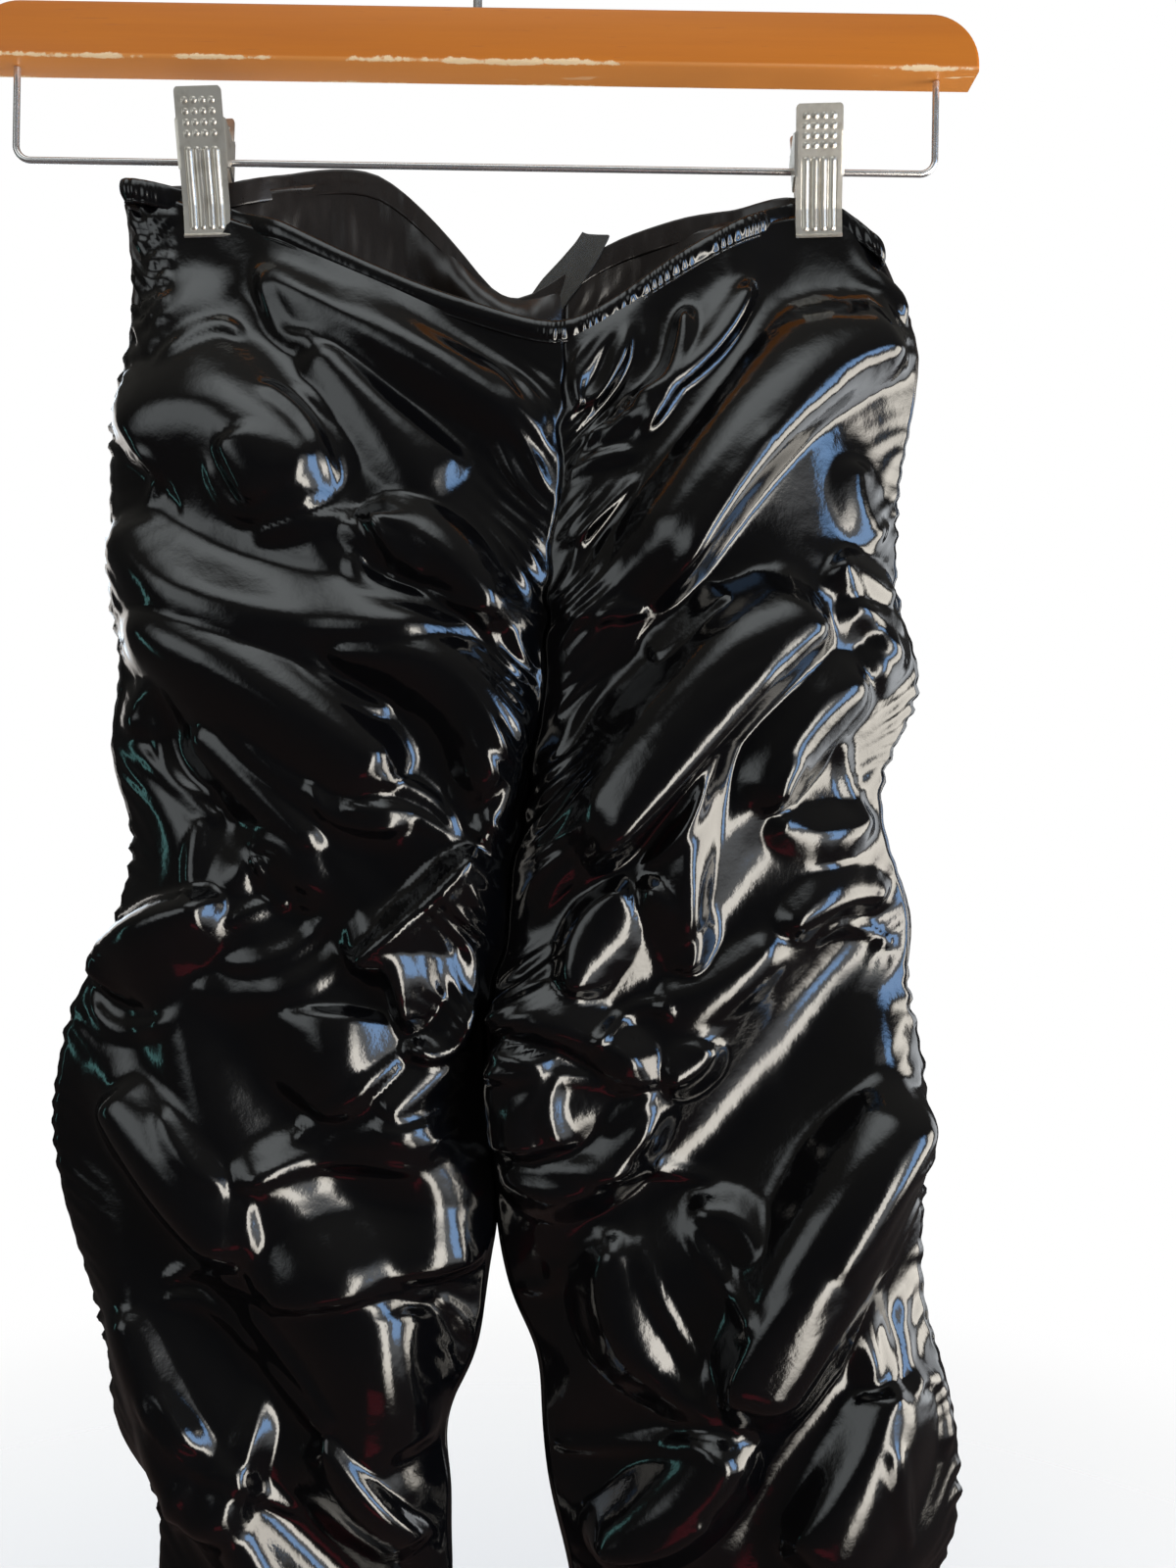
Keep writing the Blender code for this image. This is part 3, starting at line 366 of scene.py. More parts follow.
# ---------------------------------------------------------------------------------------
# The wires: the hook, bent from drawn steel and screwed through a pressed ferrule, and the
# rod under the bar that the clips ride on, bent up at both ends and pushed into the wood.
# ---------------------------------------------------------------------------------------
# The wires, the clips and the cloth are given in mm.
MM = 0.001
HOOK_WIRE = 3.6
HOOK_INNER_RADIUS = 19.0
HOOK_TIP_ANGLE = 200.0
HOOK_TURN = 230.0
HOOK_NECK = -52.0
HOOK_SHANK_PULL = 12.0
HOOK_FOOT = -87.4
ROD_WIRE = 2.7
ROD_HALF_LENGTH = 187.5
ROD_HEIGHT = -149.0
ROD_CORNER = 6.0
ROD_TOP = -111.3
FERRULE_EDGE_ROUND = 1.2
STEEL = (0.66, 0.64, 0.62, 1.0)


def steel_finish(nodes):
    spot = nodes.place()
    streak = nodes.noise(spot, 1.0, 3.0, 0.6, stretch=(60, 700, 700))
    cloud = nodes.noise(spot, 90.0, 2.0, 0.5)
    return {
        "Roughness": 0.16 + streak * 0.12 + cloud * 0.08,
        "Normal": nodes.bump(streak, 0.0001, 0.3),
    }


steel = finish_material("drawn steel", {"Base Color": STEEL, "Metallic": 0.82}, steel_finish)


def bent_wire(name, points, diameter, sides=20):
    """A round wire with closed ends through points in mm."""
    bpy.ops.object.select_all(action="DESELECT")
    bpy.ops.curve.primitive_nurbs_path_add(location=(0, 0, 0))
    made = bpy.context.object
    curve = made.data
    curve.splines.clear()
    spline = curve.splines.new("POLY")
    spline.points.add(len(points) - 1)
    for place, point in zip(spline.points, points):
        place.co = (point[0] * MM, point[1] * MM, point[2] * MM, 1.0)
    curve.bevel_depth = diameter / 2 * MM
    curve.bevel_resolution = sides // 2 - 2
    curve.use_fill_caps = True
    bpy.ops.object.convert(target="MESH")
    made = made_from(bpy.context.object, name)
    bpy.ops.object.shade_smooth_by_angle(angle=math.radians(50))
    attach(made, "root")
    return made


def hook_line():
    """The hook's middle line: an arc from its tip, then a curve down into the straight shank."""
    radius = HOOK_INNER_RADIUS + HOOK_WIRE / 2
    points = []
    for step in range(49):
        turn = math.radians(HOOK_TIP_ANGLE - HOOK_TURN * step / 48)
        points.append((radius * math.cos(turn), 0, radius * math.sin(turn) - HOOK_INNER_RADIUS))
    start, end = Vector((points[-1][0], points[-1][2])), Vector((0, HOOK_NECK))
    near = start + Vector((math.sin(turn), -math.cos(turn))) * HOOK_SHANK_PULL
    far = end + Vector((0, HOOK_SHANK_PULL))
    for step in range(1, 17):
        share = step / 16
        back = 1 - share
        spot = start * back**3 + near * 3 * share * back**2 + far * 3 * share**2 * back + end * share**3
        points.append((spot.x, 0, spot.y))
    return points + [(0, 0, HOOK_FOOT)]


hook = bent_wire("hook_wire", hook_line(), HOOK_WIRE)
hook.data.materials.append(steel)
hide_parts("hook")

rod_side = [(ROD_HALF_LENGTH, 0, ROD_TOP)]
for step in range(13):
    turn = math.pi / 2 * step / 12
    corner_x = ROD_HALF_LENGTH - ROD_CORNER * (1 - math.cos(turn))
    rod_side.append((corner_x, 0, ROD_HEIGHT + ROD_CORNER * (1 - math.sin(turn))))
rod = bent_wire("clip_rod_wire", rod_side + [(-x, y, z) for x, y, z in reversed(rod_side)], ROD_WIRE)
rod.data.materials.append(steel)
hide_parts("clip_rod")

low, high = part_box("hook_ferrule")
tall = high.z - low.z
bpy.ops.object.select_all(action="DESELECT")
bpy.ops.mesh.primitive_cylinder_add(vertices=40, radius=high.x, depth=tall, location=(low + high) / 2)
ferrule = made_from(bpy.context.object, "pressed_ferrule")
select_edges(ferrule, lambda middle, run: middle.z > high.z - 1e-4)
bpy.ops.mesh.bevel(offset=FERRULE_EDGE_ROUND * MM, segments=4)
bpy.ops.object.mode_set(mode="OBJECT")
bpy.ops.object.shade_smooth_by_angle(angle=math.radians(40))
ferrule.data.materials.append(steel)
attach(ferrule, "root")
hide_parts("hook_ferrule")

# ---------------------------------------------------------------------------------------
# The two clips: plates pressed from nickelled sheet steel, the front ones with rows of
# small dimples over four ribs. Their wings turn in to the rod, and a coil spring on it
# closes them on the waist.
# ---------------------------------------------------------------------------------------
CLIPS = [("side", "x", "lean", "length"), ("right", -109.0, -2.5, 1.0), ("left", 139.0, -2.5, 0.88)]
PLATE_LINE = [
    ("z", "y"),
    (-124.5, 12.4),
    (-136.0, 10.0),
    (-154.0, 6.4),
    (-168.0, 3.4),
    (-176.0, 2.6),
    (-179.5, 2.6),
    (-180.8, 3.6),
]
PLATE_HALF_WIDTH = {"front": 9.4, "back": 8.0}
PLATE_THICKNESS = 0.9
PLATE_GRID = (41, 119)
RIB_CENTRES = (-5.4, -1.8, 1.8, 5.4)
RIB_TOP, RIB_FOOT = -146.6, -177.4
RIB_TOP_FADE, RIB_FOOT_FADE = 1.2, 0.7
RIB_HEIGHT, RIB_HALF_WIDTH = 0.8, 0.85
DIMPLE_ROWS = (-129.6, -133.6, -137.6, -141.6)
DIMPLE_HEIGHT, DIMPLE_RADIUS = 0.6, 1.1
TIP_LENGTH, TIP_NARROWING = 2.2, 0.12
WING_TOP, WING_FOOT, WING_REACH, WING_CURVE, WING_INSET = -136.0, -154.0, 2.8, 1.5, 1.0
SPRING_RADIUS, SPRING_WIRE, SPRING_COILS, SPRING_LENGTH = 2.45, 0.9, 5, 9.0
SPRING_ARM_RISE, SPRING_ARM_REACH, SPRING_ARM_TURN = 11.0, 5.6, 60
NICKEL_BRIGHT = (0.58, 0.54, 0.47, 1.0)
NICKEL_DULL = (0.42, 0.38, 0.32, 1.0)


def column(table, name):
    """One named column of a table whose first row holds the names."""
    place = table[0].index(name)
    return np.array([row[place] for row in table[1:]], dtype=float)


def between(table, key, value, where, round_off=0.0):
    """A column's value at a key, read between the table's rows, with its corners rounded."""
    keys, values = column(table, key), column(table, value)
    order = np.argsort(keys)
    steps, shares = (-1, -0.5, 0, 0.5, 1), (0.11, 0.22, 0.34, 0.22, 0.11)
    reads = [np.interp(where + round_off * step, keys[order], values[order]) for step in steps]
    return sum(share * read for share, read in zip(shares, reads))


def face_towards(mesh, facing, even_out=False):
    """Turns a sheet's faces towards the back for 1 or the front for -1, after making them
    agree with each other where that is asked for."""
    shape = bmesh.new()
    shape.from_mesh(mesh)
    if even_out:
        bmesh.ops.recalc_face_normals(shape, faces=shape.faces)
    if sum(one.normal.y * one.calc_area() for one in shape.faces) * facing < 0:
        bmesh.ops.reverse_faces(shape, faces=shape.faces)
    shape.to_mesh(mesh)
    shape.free()


def nickel_finish(nodes):
    spot = nodes.place()
    brushed = nodes.noise(spot, 1.0, 4.0, 0.6, stretch=(900, 900, 60))
    tarnish = nodes.noise(spot, 120.0, 3.0, 0.6)
    return {
        "Base Color": nodes.blend(NICKEL_BRIGHT, NICKEL_DULL, tarnish.step(0.45, 0.75)),
        "Roughness": 0.24 + brushed * 0.12 + tarnish * 0.1,
        "Normal": nodes.bump(brushed, 0.0001, 0.25),
    }


nickel = finish_material("nickel plate", {"Metallic": 0.75}, nickel_finish)


def pressed_out(px, z, face):
    """How far the dimples, and a front plate's ribs, stand out at a place on a plate."""
    near = min(abs(px - centre) for centre in RIB_CENTRES)
    below_top = min(1.0, max(0.0, (RIB_TOP - z) / RIB_TOP_FADE))
    above_foot = min(1.0, max(0.0, (z - RIB_FOOT) / RIB_FOOT_FADE))
    ribbed = max(0.0, 1 - (near / RIB_HALF_WIDTH) ** 2) ** 0.5 * (below_top * above_foot) * RIB_HEIGHT
    dimpled = 0.0
    for row in DIMPLE_ROWS:
        off = math.hypot(near, z - row) / DIMPLE_RADIUS
        dimpled = max(dimpled, max(0.0, 1 - off * off) * DIMPLE_HEIGHT)
    return (ribbed if face == "front" else 0.0), dimpled


def clip_plate(name, hand, face, x, lean, length):
    """One pressed plate, shaped from a flat grid, with its wings drawn out of its sides."""
    facing = -1 if face == "front" else 1
    half = PLATE_HALF_WIDTH[face]
    top, foot = PLATE_LINE[1][0], PLATE_LINE[-1][0]
    across, down = PLATE_GRID
    bpy.ops.object.select_all(action="DESELECT")
    bpy.ops.mesh.primitive_grid_add(x_subdivisions=across - 1, y_subdivisions=down - 1, size=2.0)
    made = bpy.context.object
    bpy.ops.object.mode_set(mode="EDIT")
    shape = bmesh.from_edit_mesh(made.data)
    for corner in shape.verts:
        z = (top + foot) / 2 + corner.co.y * (top - foot) / 2
        # The corners of the top end are rounded off.
        tip = max(0.0, z - top + TIP_LENGTH) / TIP_LENGTH
        px = corner.co.x * half * (1 - TIP_NARROWING * tip**3)
        ribbed, dimpled = pressed_out(px, z, face)
        corner.co = (px, facing * (float(between(PLATE_LINE, "z", "y", z)) + ribbed + dimpled), z)
    bmesh.update_edit_mesh(made.data)
    for side in (-1, 1):
        select_edges(
            made,
            lambda middle, run: middle.x * side > half - 0.02
            and abs(run.z) > 0.5
            and WING_FOOT < middle.z < WING_TOP,
        )
        bpy.ops.mesh.extrude_edges_move(TRANSFORM_OT_translate={"value": (0, 0, 0)})
        shape = bmesh.from_edit_mesh(made.data)
        for corner in shape.verts:
            if corner.select:
                share = (corner.co.z - WING_FOOT) / (WING_TOP - WING_FOOT)
                narrow = abs(2 * share - 1) ** WING_CURVE
                plate_y = abs(corner.co.y) - WING_INSET
                corner.co.y = facing * (plate_y * narrow - WING_REACH * (1 - narrow))
        bmesh.update_edit_mesh(made.data)
    bpy.ops.object.mode_set(mode="OBJECT")
    cosine, sine = math.cos(math.radians(lean)), math.sin(math.radians(lean))
    for corner in made.data.vertices:
        px, py, pz = corner.co
        up = (pz - ROD_HEIGHT) * length
        px, pz = x + px * cosine + up * sine, ROD_HEIGHT + up * cosine - px * sine
        corner.co = (px * MM, py * MM, pz * MM)
    made = made_from(made, name)
    face_towards(made.data, facing, even_out=True)
    wall = made.modifiers.new("sheet metal", "SOLIDIFY")
    wall.thickness = PLATE_THICKNESS * MM
    wall.offset = 1.0
    bpy.ops.object.modifier_apply(modifier=wall.name)
    bpy.ops.object.shade_smooth_by_angle(angle=math.radians(45))
    made.data.materials.append(nickel)
    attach(made, "root")
    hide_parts(f"clip_{hand}_{face}")


def coil_line(x):
    """The spring's wire: an arm up behind each plate and coils round the rod between them."""
    start, half = math.radians(-SPRING_ARM_TURN), SPRING_LENGTH / 2
    arm_top = ROD_HEIGHT + SPRING_ARM_RISE
    steps = SPRING_COILS * 24
    sweep = SPRING_COILS * 2 * math.pi + math.radians(2 * SPRING_ARM_TURN)
    points = [(x - half, -SPRING_ARM_REACH, arm_top)]
    for step in range(steps + 1):
        turn = math.pi + start + sweep * step / steps
        coil_y, coil_z = SPRING_RADIUS * math.cos(turn), ROD_HEIGHT + SPRING_RADIUS * math.sin(turn)
        points.append((x - half + SPRING_LENGTH * step / steps, coil_y, coil_z))
    return points + [(x + half, SPRING_ARM_REACH, arm_top)]


for hand, x, lean, length in CLIPS[1:]:
    for face in ("front", "back"):
        clip_plate(f"clip_plate_{hand}_{face}", hand, face, x, lean, length)
    coil = bent_wire(f"clip_coil_{hand}", coil_line(x), SPRING_WIRE, sides=8)
    coil.data.materials.append(steel)
    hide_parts(f"clip_{hand}_spring")

# ---------------------------------------------------------------------------------------
# The trousers: four panels of black stretch vinyl on a brown knit backing. Each is cut
# longer than its seams and gathered onto elastic there, so that it hangs in swags. The
# tables give places as seen from the front.
# ---------------------------------------------------------------------------------------
WALL = 1.2
SEAM_GAP = 0.3
HEM = -1100.0
# The panels start under the casing, this share of the way down to the hem.
PANEL_TOP = 0.00552
# A flattened panel's rounded edge, and the arch between its edges. Below the turn of the
# rise the arch leans to the inseam and grows flatter.
EDGE_ROUND, EDGE_REACH = 2.2, 3.0
ARCH_POWER, ARCH_LEAN, ARCH_FLATTEN = 2.5, 0.2, 1.5
RISE_TURN, CROTCH = -430.0, -512.0
# The waist's edge sags to this share of the way down. The clips press the cloth flat as far
# beside them, and as far down, as these soft steps say.
SAG_END = 0.16
CLIP_BESIDE, CLIP_BELOW = (10.0, 34.0), (-190.0, -222.0)
RIGHT_SIDE = [
    ("z", "x"),
    (-157, -144), (-199, -138), (-221, -139), (-244, -146), (-259, -149), (-275, -145),
    (-287, -149), (-305, -144), (-331, -150), (-343, -140), (-369, -143), (-393, -147),
    (-417, -135), (-435, -134), (-453, -142), (-469, -143), (-487, -159), (-515, -164),
    (-539, -168), (-575, -161), (-603, -151), (-643, -139), (-655, -143), (-667, -139),
    (-690, -119), (-723, -120), (-800, -124), (-880, -117), (-960, -119), (-1040, -112),
    (-1100, -112),
]
LEFT_SIDE = [
    ("z", "x"),
    (-181, 166), (-197, 169), (-215, 183), (-232, 183), (-256, 179), (-280, 174),
    (-312, 175), (-322, 171), (-340, 183), (-356, 186), (-370, 184), (-390, 169),
    (-414, 169), (-426, 174), (-448, 183), (-460, 186), (-474, 178), (-498, 187),
    (-526, 191), (-590, 189), (-613, 190), (-630, 198), (-660, 205), (-690, 207),
    (-708, 204), (-735, 190), (-800, 189), (-880, 180), (-960, 178), (-1040, 171),
    (-1100, 170),
]
RISE = [
    ("z", "x"),
    (-190, 37), (-257, 38), (-310, 34), (-370, 31), (-397, 27), (-427, 22), (-453, 19),
    (-480, 14), (-495, 10), (-512, 10),
]
RIGHT_INNER = [
    ("z", "x"),
    (-512, 10.4), (-560, 15.4), (-583, 17.4), (-590, 13), (-619, 11), (-640, 7), (-652, -4),
    (-672, -6), (-684, 2), (-700, -3), (-720, 1), (-800, -8), (-900, -14), (-1000, -16),
    (-1100, -16),
]
LEFT_INNER = [
    ("z", "x"),
    (-512, 9.6), (-560, 13.8), (-583, 15.8), (-597, 19), (-614, 23), (-627, 34),
    (-657, 35), (-684, 38), (-720, 48), (-800, 58), (-900, 66), (-1000, 72), (-1100, 75),
]
FRONT_EDGE = [
    ("x", "z"),
    (-144, -157), (-118, -160), (-95, -170), (-81, -174), (-48, -190), (-17, -203),
    (15, -213), (32, -217), (40, -216), (55, -208), (78, -190), (97, -178), (115, -168),
    (129, -161), (150, -162), (158, -171), (166, -181),
]
BACK_EDGE = [
    ("x", "z"),
    (-144, -157), (-118, -158), (-99, -157), (-84, -150), (-60, -146), (-41, -147),
    (-22, -162), (-5, -180), (12, -201), (30, -192), (49, -178), (60, -172), (87, -163),
    (127, -158), (150, -161), (158, -170), (166, -181),
]
DEPTHS = [
    ("z", "front", "back"),
    (-150, 7, 8), (-190, 10, 11), (-220, 12, 13), (-260, 14, 17), (-330, 17, 21),
    (-420, 18, 24), (-500, 18, 23), (-560, 17, 20), (-640, 16, 19), (-720, 15, 17),
    (-900, 14, 15), (-1100, 14, 14),
]
# Folds, each on a curve from its start past its middle to its end. The left and right
# columns are how far it slopes away on either hand, walking along it.
FOLD_COLUMNS = ("x0", "z0", "x1", "z1", "x2", "z2", "height", "left", "right")
RIGHT_FRONT_FOLDS = [
    FOLD_COLUMNS,
    (-89, -193, -40, -222, 37, -264, 7, 16, 12),
    (-63, -226, -33, -256, 2, -279, 6, 9, 18),
    (-126, -241, -118, -208, -92, -192, 5, 14, 12),
    (-139, -268, -100, -258, -50, -290, 14, 26, 30),
    (-94, -251, -65, -249, -53, -266, 5, 8, 11),
    (-138, -294, -95, -334, 11, -340, 12, 16, 20),
    (-39, -306, -15, -306, 19, -340, 13, 11, 16),
    (-139, -334, -72, -368, -22, -401, 14, 18, 22),
    (-134, -386, -120, -362, -100, -355, 7, 10, 13),
    (-96, -366, -62, -402, -16, -416, 7, 11, 12),
    (-107, -378, -80, -402, -51, -429, 7, 10, 13),
    (-64, -351, 0, -362, 6, -413, 12, 16, 14),
    (9, -363, 20, -392, 6, -425, 8, 12, 9),
    (6, -426, -14, -448, -42, -472, 12, 16, 7),
    (-42, -474, -24, -470, -20, -500, 9, 14, 6),
    (-20, -501, -6, -505, 8, -483, 8, 12, 6),
    (-89, -447, -72, -424, -53, -449, 7, 10, 11),
    (-148, -484, -126, -462, -89, -447, 15, 8, 20),
    (-105, -479, -73, -484, -41, -464, 3, 8, 8),
    (-137, -524, -114, -550, -79, -587, 12, 16, 16),
    (-29, -530, -12, -518, 8, -498, 6, 9, 9),
    (-83, -557, -46, -542, 3, -540, 6, 10, 11),
    (-74, -600, -34, -592, 14, -588, 9, 18, 8),
    (-79, -604, -61, -628, -40, -653, 4, 3, 16),
    (-120, -640, -96, -690, -74, -640, 6, 10, 10),
    (-48, -654, -32, -676, -9, -703, 8, 4, 20),
    (-131, -610, -120, -636, -97, -662, 6, 9, 13),
    (-42, -488, -46, -506, -56, -530, 8, 20, 26),
    (-16, -604, -20, -632, -12, -668, 7, 14, 26),
]
LEFT_FRONT_FOLDS = [
    FOLD_COLUMNS,
    (176, -226, 126, -254, 75, -332, 18, 10, 34),
    (68, -211, 68, -236, 59, -258, 3, 7, 7),
    (85, -209, 83, -236, 67, -264, 4, 8, 8),
    (112, -196, 94, -230, 62, -255, 5, 9, 11),
    (39, -307, 74, -284, 84, -318, 4, 8, 9),
    (105, -324, 92, -341, 72, -354, 7, 11, 12),
    (141, -334, 100, -368, 49, -432, 20, 12, 26),
    (141, -334, 166, -336, 158, -362, 8, 12, 12),
    (161, -357, 132, -378, 120, -411, 10, 12, 15),
    (120, -411, 140, -419, 165, -413, 7, 11, 9),
    (143, -310, 156, -318, 172, -324, 8, 9, 14),
    (154, -269, 156, -289, 167, -302, 5, 9, 9),
    (111, -365, 92, -396, 89, -475, 11, 9, 13),
    (69, -439, 50, -456, 46, -484, 9, 15, 7),
    (69, -439, 88, -452, 89, -476, 9, 9, 11),
    (10, -493, 40, -492, 79, -513, 12, 10, 12),
    (79, -513, 92, -508, 98, -498, 7, 9, 9),
    (76, -482, 100, -477, 126, -458, 5, 9, 11),
    (126, -457, 149, -443, 173, -443, 7, 9, 9),
    (15, -551, 50, -554, 79, -520, 9, 9, 12),
    (24, -496, 22, -520, 26, -548, 17, 27, 7),
    (182, -519, 142, -575, 110, -642, 20, 26, 18),
    (107, -646, 92, -674, 55, -700, 14, 16, 14),
    (68, -575, 66, -610, 108, -643, 9, 10, 14),
    (90, -569, 115, -572, 119, -605, 6, 9, 9),
    (169, -632, 160, -658, 130, -700, 12, 24, 12),
    (176, -636, 196, -640, 198, -669, 5, 7, 7),
    (150, -188, 164, -192, 176, -214, 6, 8, 9),
    (144, -200, 158, -208, 176, -222, 6, 7, 8),
    (164, -555, 158, -590, 168, -639, 6, 9, 9),
]
HIDDEN_FOLDS = [
    ("face", "count", "first", "last", "drop", "height", "spread"),
    ("back", 11, -215, -640, 46, 10, 15),
    ("back", 9, -690, -1052, 44, 10, 22),
    ("front", 9, -738, -1056, 46, 10, 22),
]
# Sharp creases pressed into the settled cloth, in the same columns.
RIGHT_FRONT_CREASES = [
    FOLD_COLUMNS,
    (-82, -249, -61, -262, -50, -288, 2.0, 5, 7),
    (-122, -237, -104, -220, -90, -225, 2.2, 6, 6),
    (-82, -199, -75, -221, -58, -226, 2.5, 6, 7),
    (-97, -276, -84, -297, -50, -290, 2.2, 7, 6),
    (-136, -272, -122, -278, -127, -292, 2.0, 5, 5),
    (-83, -307, -53, -300, -16, -299, 2.4, 6, 8),
    (-37, -311, -34, -324, 13, -333, 2.2, 6, 6),
    (-54, -398, -46, -415, -16, -416, 2.0, 6, 5),
    (-64, -351, -41, -367, -26, -372, 2.2, 6, 6),
    (-44, -411, -21, -412, 1, -425, 2.2, 6, 6),
    (-33, -401, -14, -405, -1, -420, 2.0, 5, 6),
    (-53, -449, -72, -449, -90, -458, 2.0, 6, 5),
    (-120, -374, -116, -399, -97, -408, 2.4, 6, 6),
    (-133, -386, -104, -410, -99, -414, 2.2, 6, 6),
    (-101, -414, -104, -433, -102, -448, 2.0, 6, 6),
    (-94, -472, -66, -468, -51, -452, 2.2, 7, 6),
    (-148, -490, -135, -501, -109, -493, 2.2, 6, 7),
    (-112, -527, -99, -544, -83, -557, 2.4, 6, 7),
    (-29, -530, -19, -535, 3, -525, 2.0, 6, 5),
    (-83, -557, -46, -548, -12, -553, 2.0, 6, 6),
    (-61, -537, -50, -530, -16, -503, 2.2, 6, 7),
    (-79, -558, -75, -579, -74, -598, 2.2, 6, 6),
    (-74, -628, -59, -643, -44, -656, 2.2, 6, 6),
    (-120, -640, -102, -664, -78, -670, 2.4, 6, 6),
    (-66, -602, -34, -599, -7, -604, 2.2, 6, 6),
    (-7, -604, 2, -616, 10, -627, 2.0, 5, 6),
    (-114, -638, -89, -668, -59, -692, 2.2, 7, 6),
    (-116, -602, -101, -595, -79, -597, 2.2, 6, 6),
    (-116, -608, -97, -610, -75, -628, 2.2, 6, 6),
    (-100, -670, -108, -689, -111, -704, 2.0, 6, 6),
    (-46, -300, -36, -309, -12, -322, 5.0, 14, 8),
    (-90, -270, -84, -282, -80, -295, 5.0, 16, 8),
    (-78, -430, -74, -440, -66, -452, 4.5, 14, 6),
    (7, -424, -14, -448, -42, -472, 2.6, 7, 5),
    (-42, -474, -24, -470, -20, -500, 2.6, 7, 5),
    (-20, -501, -6, -505, 8, -483, 2.6, 7, 5),
]
LEFT_FRONT_CREASES = [
    FOLD_COLUMNS,
    (39, -222, 36, -238, 40, -256, 4.4, 5, 5),
    (47, -220, 42, -240, 46, -252, 4.4, 5, 5),
    (62, -214, 57, -238, 44, -250, 4.6, 5, 6),
    (78, -249, 63, -258, 46, -266, 4.0, 6, 6),
    (85, -209, 83, -236, 67, -264, 3.8, 6, 7),
    (112, -196, 94, -230, 62, -255, 3.8, 6, 8),
    (38, -336, 57, -334, 73, -332, 2.2, 6, 5),
    (67, -270, 48, -274, 40, -280, 2.0, 5, 5),
    (67, -279, 56, -294, 39, -306, 2.2, 6, 6),
    (118, -267, 103, -290, 75, -332, 2.4, 5, 7),
    (131, -388, 123, -399, 120, -411, 2.0, 5, 6),
    (151, -380, 154, -398, 165, -417, 2.2, 6, 6),
    (143, -310, 154, -331, 176, -353, 2.4, 7, 6),
    (90, -396, 88, -414, 69, -434, 2.2, 6, 5),
    (52, -502, 70, -486, 85, -490, 2.2, 5, 6),
    (54, -506, 67, -513, 79, -513, 2.2, 5, 5),
    (14, -510, 37, -511, 78, -519, 2.2, 5, 6),
    (37, -553, 31, -532, 37, -513, 2.4, 6, 6),
    (28, -502, 36, -512, 31, -528, 2.6, 6, 7),
    (45, -508, 39, -524, 46, -541, 2.6, 6, 6),
    (58, -534, 67, -524, 79, -518, 2.0, 5, 5),
    (140, -461, 156, -455, 177, -466, 2.4, 5, 6),
    (182, -519, 158, -557, 141, -583, 3.4, 8, 6),
    (141, -583, 119, -610, 106, -640, 3.4, 8, 6),
    (118, -352, 85, -386, 49, -432, 3.4, 8, 6),
    (150, -240, 108, -282, 72, -332, 3.0, 8, 6),
    (72, -574, 83, -603, 110, -642, 2.2, 6, 6),
    (90, -570, 106, -591, 119, -605, 2.2, 6, 6),
    (39, -668, 69, -660, 105, -646, 2.4, 7, 6),
    (15, -553, 52, -547, 105, -556, 2.2, 7, 6),
    (169, -651, 173, -673, 181, -696, 2.2, 6, 6),
    (179, -602, 180, -624, 182, -639, 2.0, 5, 6),
    (182, -541, 165, -549, 158, -555, 2.4, 6, 6),
    (166, -609, 172, -624, 169, -639, 2.0, 6, 5),
    (164, -587, 173, -571, 181, -560, 2.2, 6, 6),
    (25, -604, 38, -600, 38, -589, 2.0, 5, 6),
    (55, -698, 85, -690, 98, -674, 2.4, 7, 6),
]
# The corners of the outlines above are rounded over this much, the waist's edges over more.
LINE_ROUND, EDGE_LINE_ROUND = 6.0, 11.0
# Each fold's curve is walked in steps. Its height and reach are raised by these shares, and
# its reach narrows at its ends. Crests, creases and feet are rounded by a share of the reach.
FOLD_STEPS = 12
FOLD_SWELL, FOLD_REACH, FOLD_POINT = 1.2, 1.5, 0.62
CREST_ROUND, CREASE_ROUND, FOOT_ROUND = 0.22, 0.3, 0.3
# The cut is this much longer than the hung panel, and wider, and the settling runs so long.
RUCHE, EASE = 1.04, 1.03
SETTLE_FRAMES, GATHER_FRAMES = 30, 16
# Crests are held this firmly, over this width. Folds fade out towards the seams.
CREST_HOLD, CREST_REACH = 0.8, 4.0
SEAM_FADE, WAIST_FADE = 14.0, (0.006, 0.03)
# The settled cloth is calmed, and then each fold's crest is drawn on it again, sharper.
CALM_PASSES = 4
CREST_SHARPEN, CREASE_SHARE = 0.8, 0.9
# Rows and columns that are settled, and those that the sheet is drawn with. The part above
# the knee, this share of the length, has this share of the rows.
CLOTH_GRID = {"front": (140, 29), "back": (120, 27)}
SHEET_GRID = {"front": (460, 100), "back": (340, 76)}
KNEE_SHARE, KNEE_ROWS = 0.62, 0.72
# The small puckers along each seam: their pitch, height and reach, and their slant. They
# start clear of the waist, and the rise's fade out below the crotch.
PUCKERS = {"rise": (10.0, 2.8, 12.0, -0.8), "side": (9.4, 0.9, 8.0, 0.7)}
PUCKERS_BEGIN = (6.0, 26.0)
SEAM_RIPPLE = 1.1
# The rise is drawn in along its seam, by this much, over this width.
RISE_TROUGH, RISE_TROUGH_WIDTH = 7.0, 7.0
# How far from the middle the folds may reach, and where they begin to flatten.
DEEPEST, FLATTEN_FROM = 53.0, 40.0
# The narrow strip outside the right clip is finely crinkled.
STRIP_CRINKLE, STRIP_EDGE, STRIP_FOOT = 1.2, (-119.0, -124.0), (-232.0, -212.0)
VINYL_BLACK = (0.0035, 0.0032, 0.0035, 1.0)
KNIT_BROWN, KNIT_SHADE = (0.026, 0.018, 0.014, 1.0), (0.010, 0.007, 0.006, 1.0)


def smooth(low, high, value):
    """A soft step from 0 at low to 1 at high."""
    share = np.clip((value - low) / (high - low), 0.0, 1.0)
    return share * share * (3.0 - 2.0 * share)


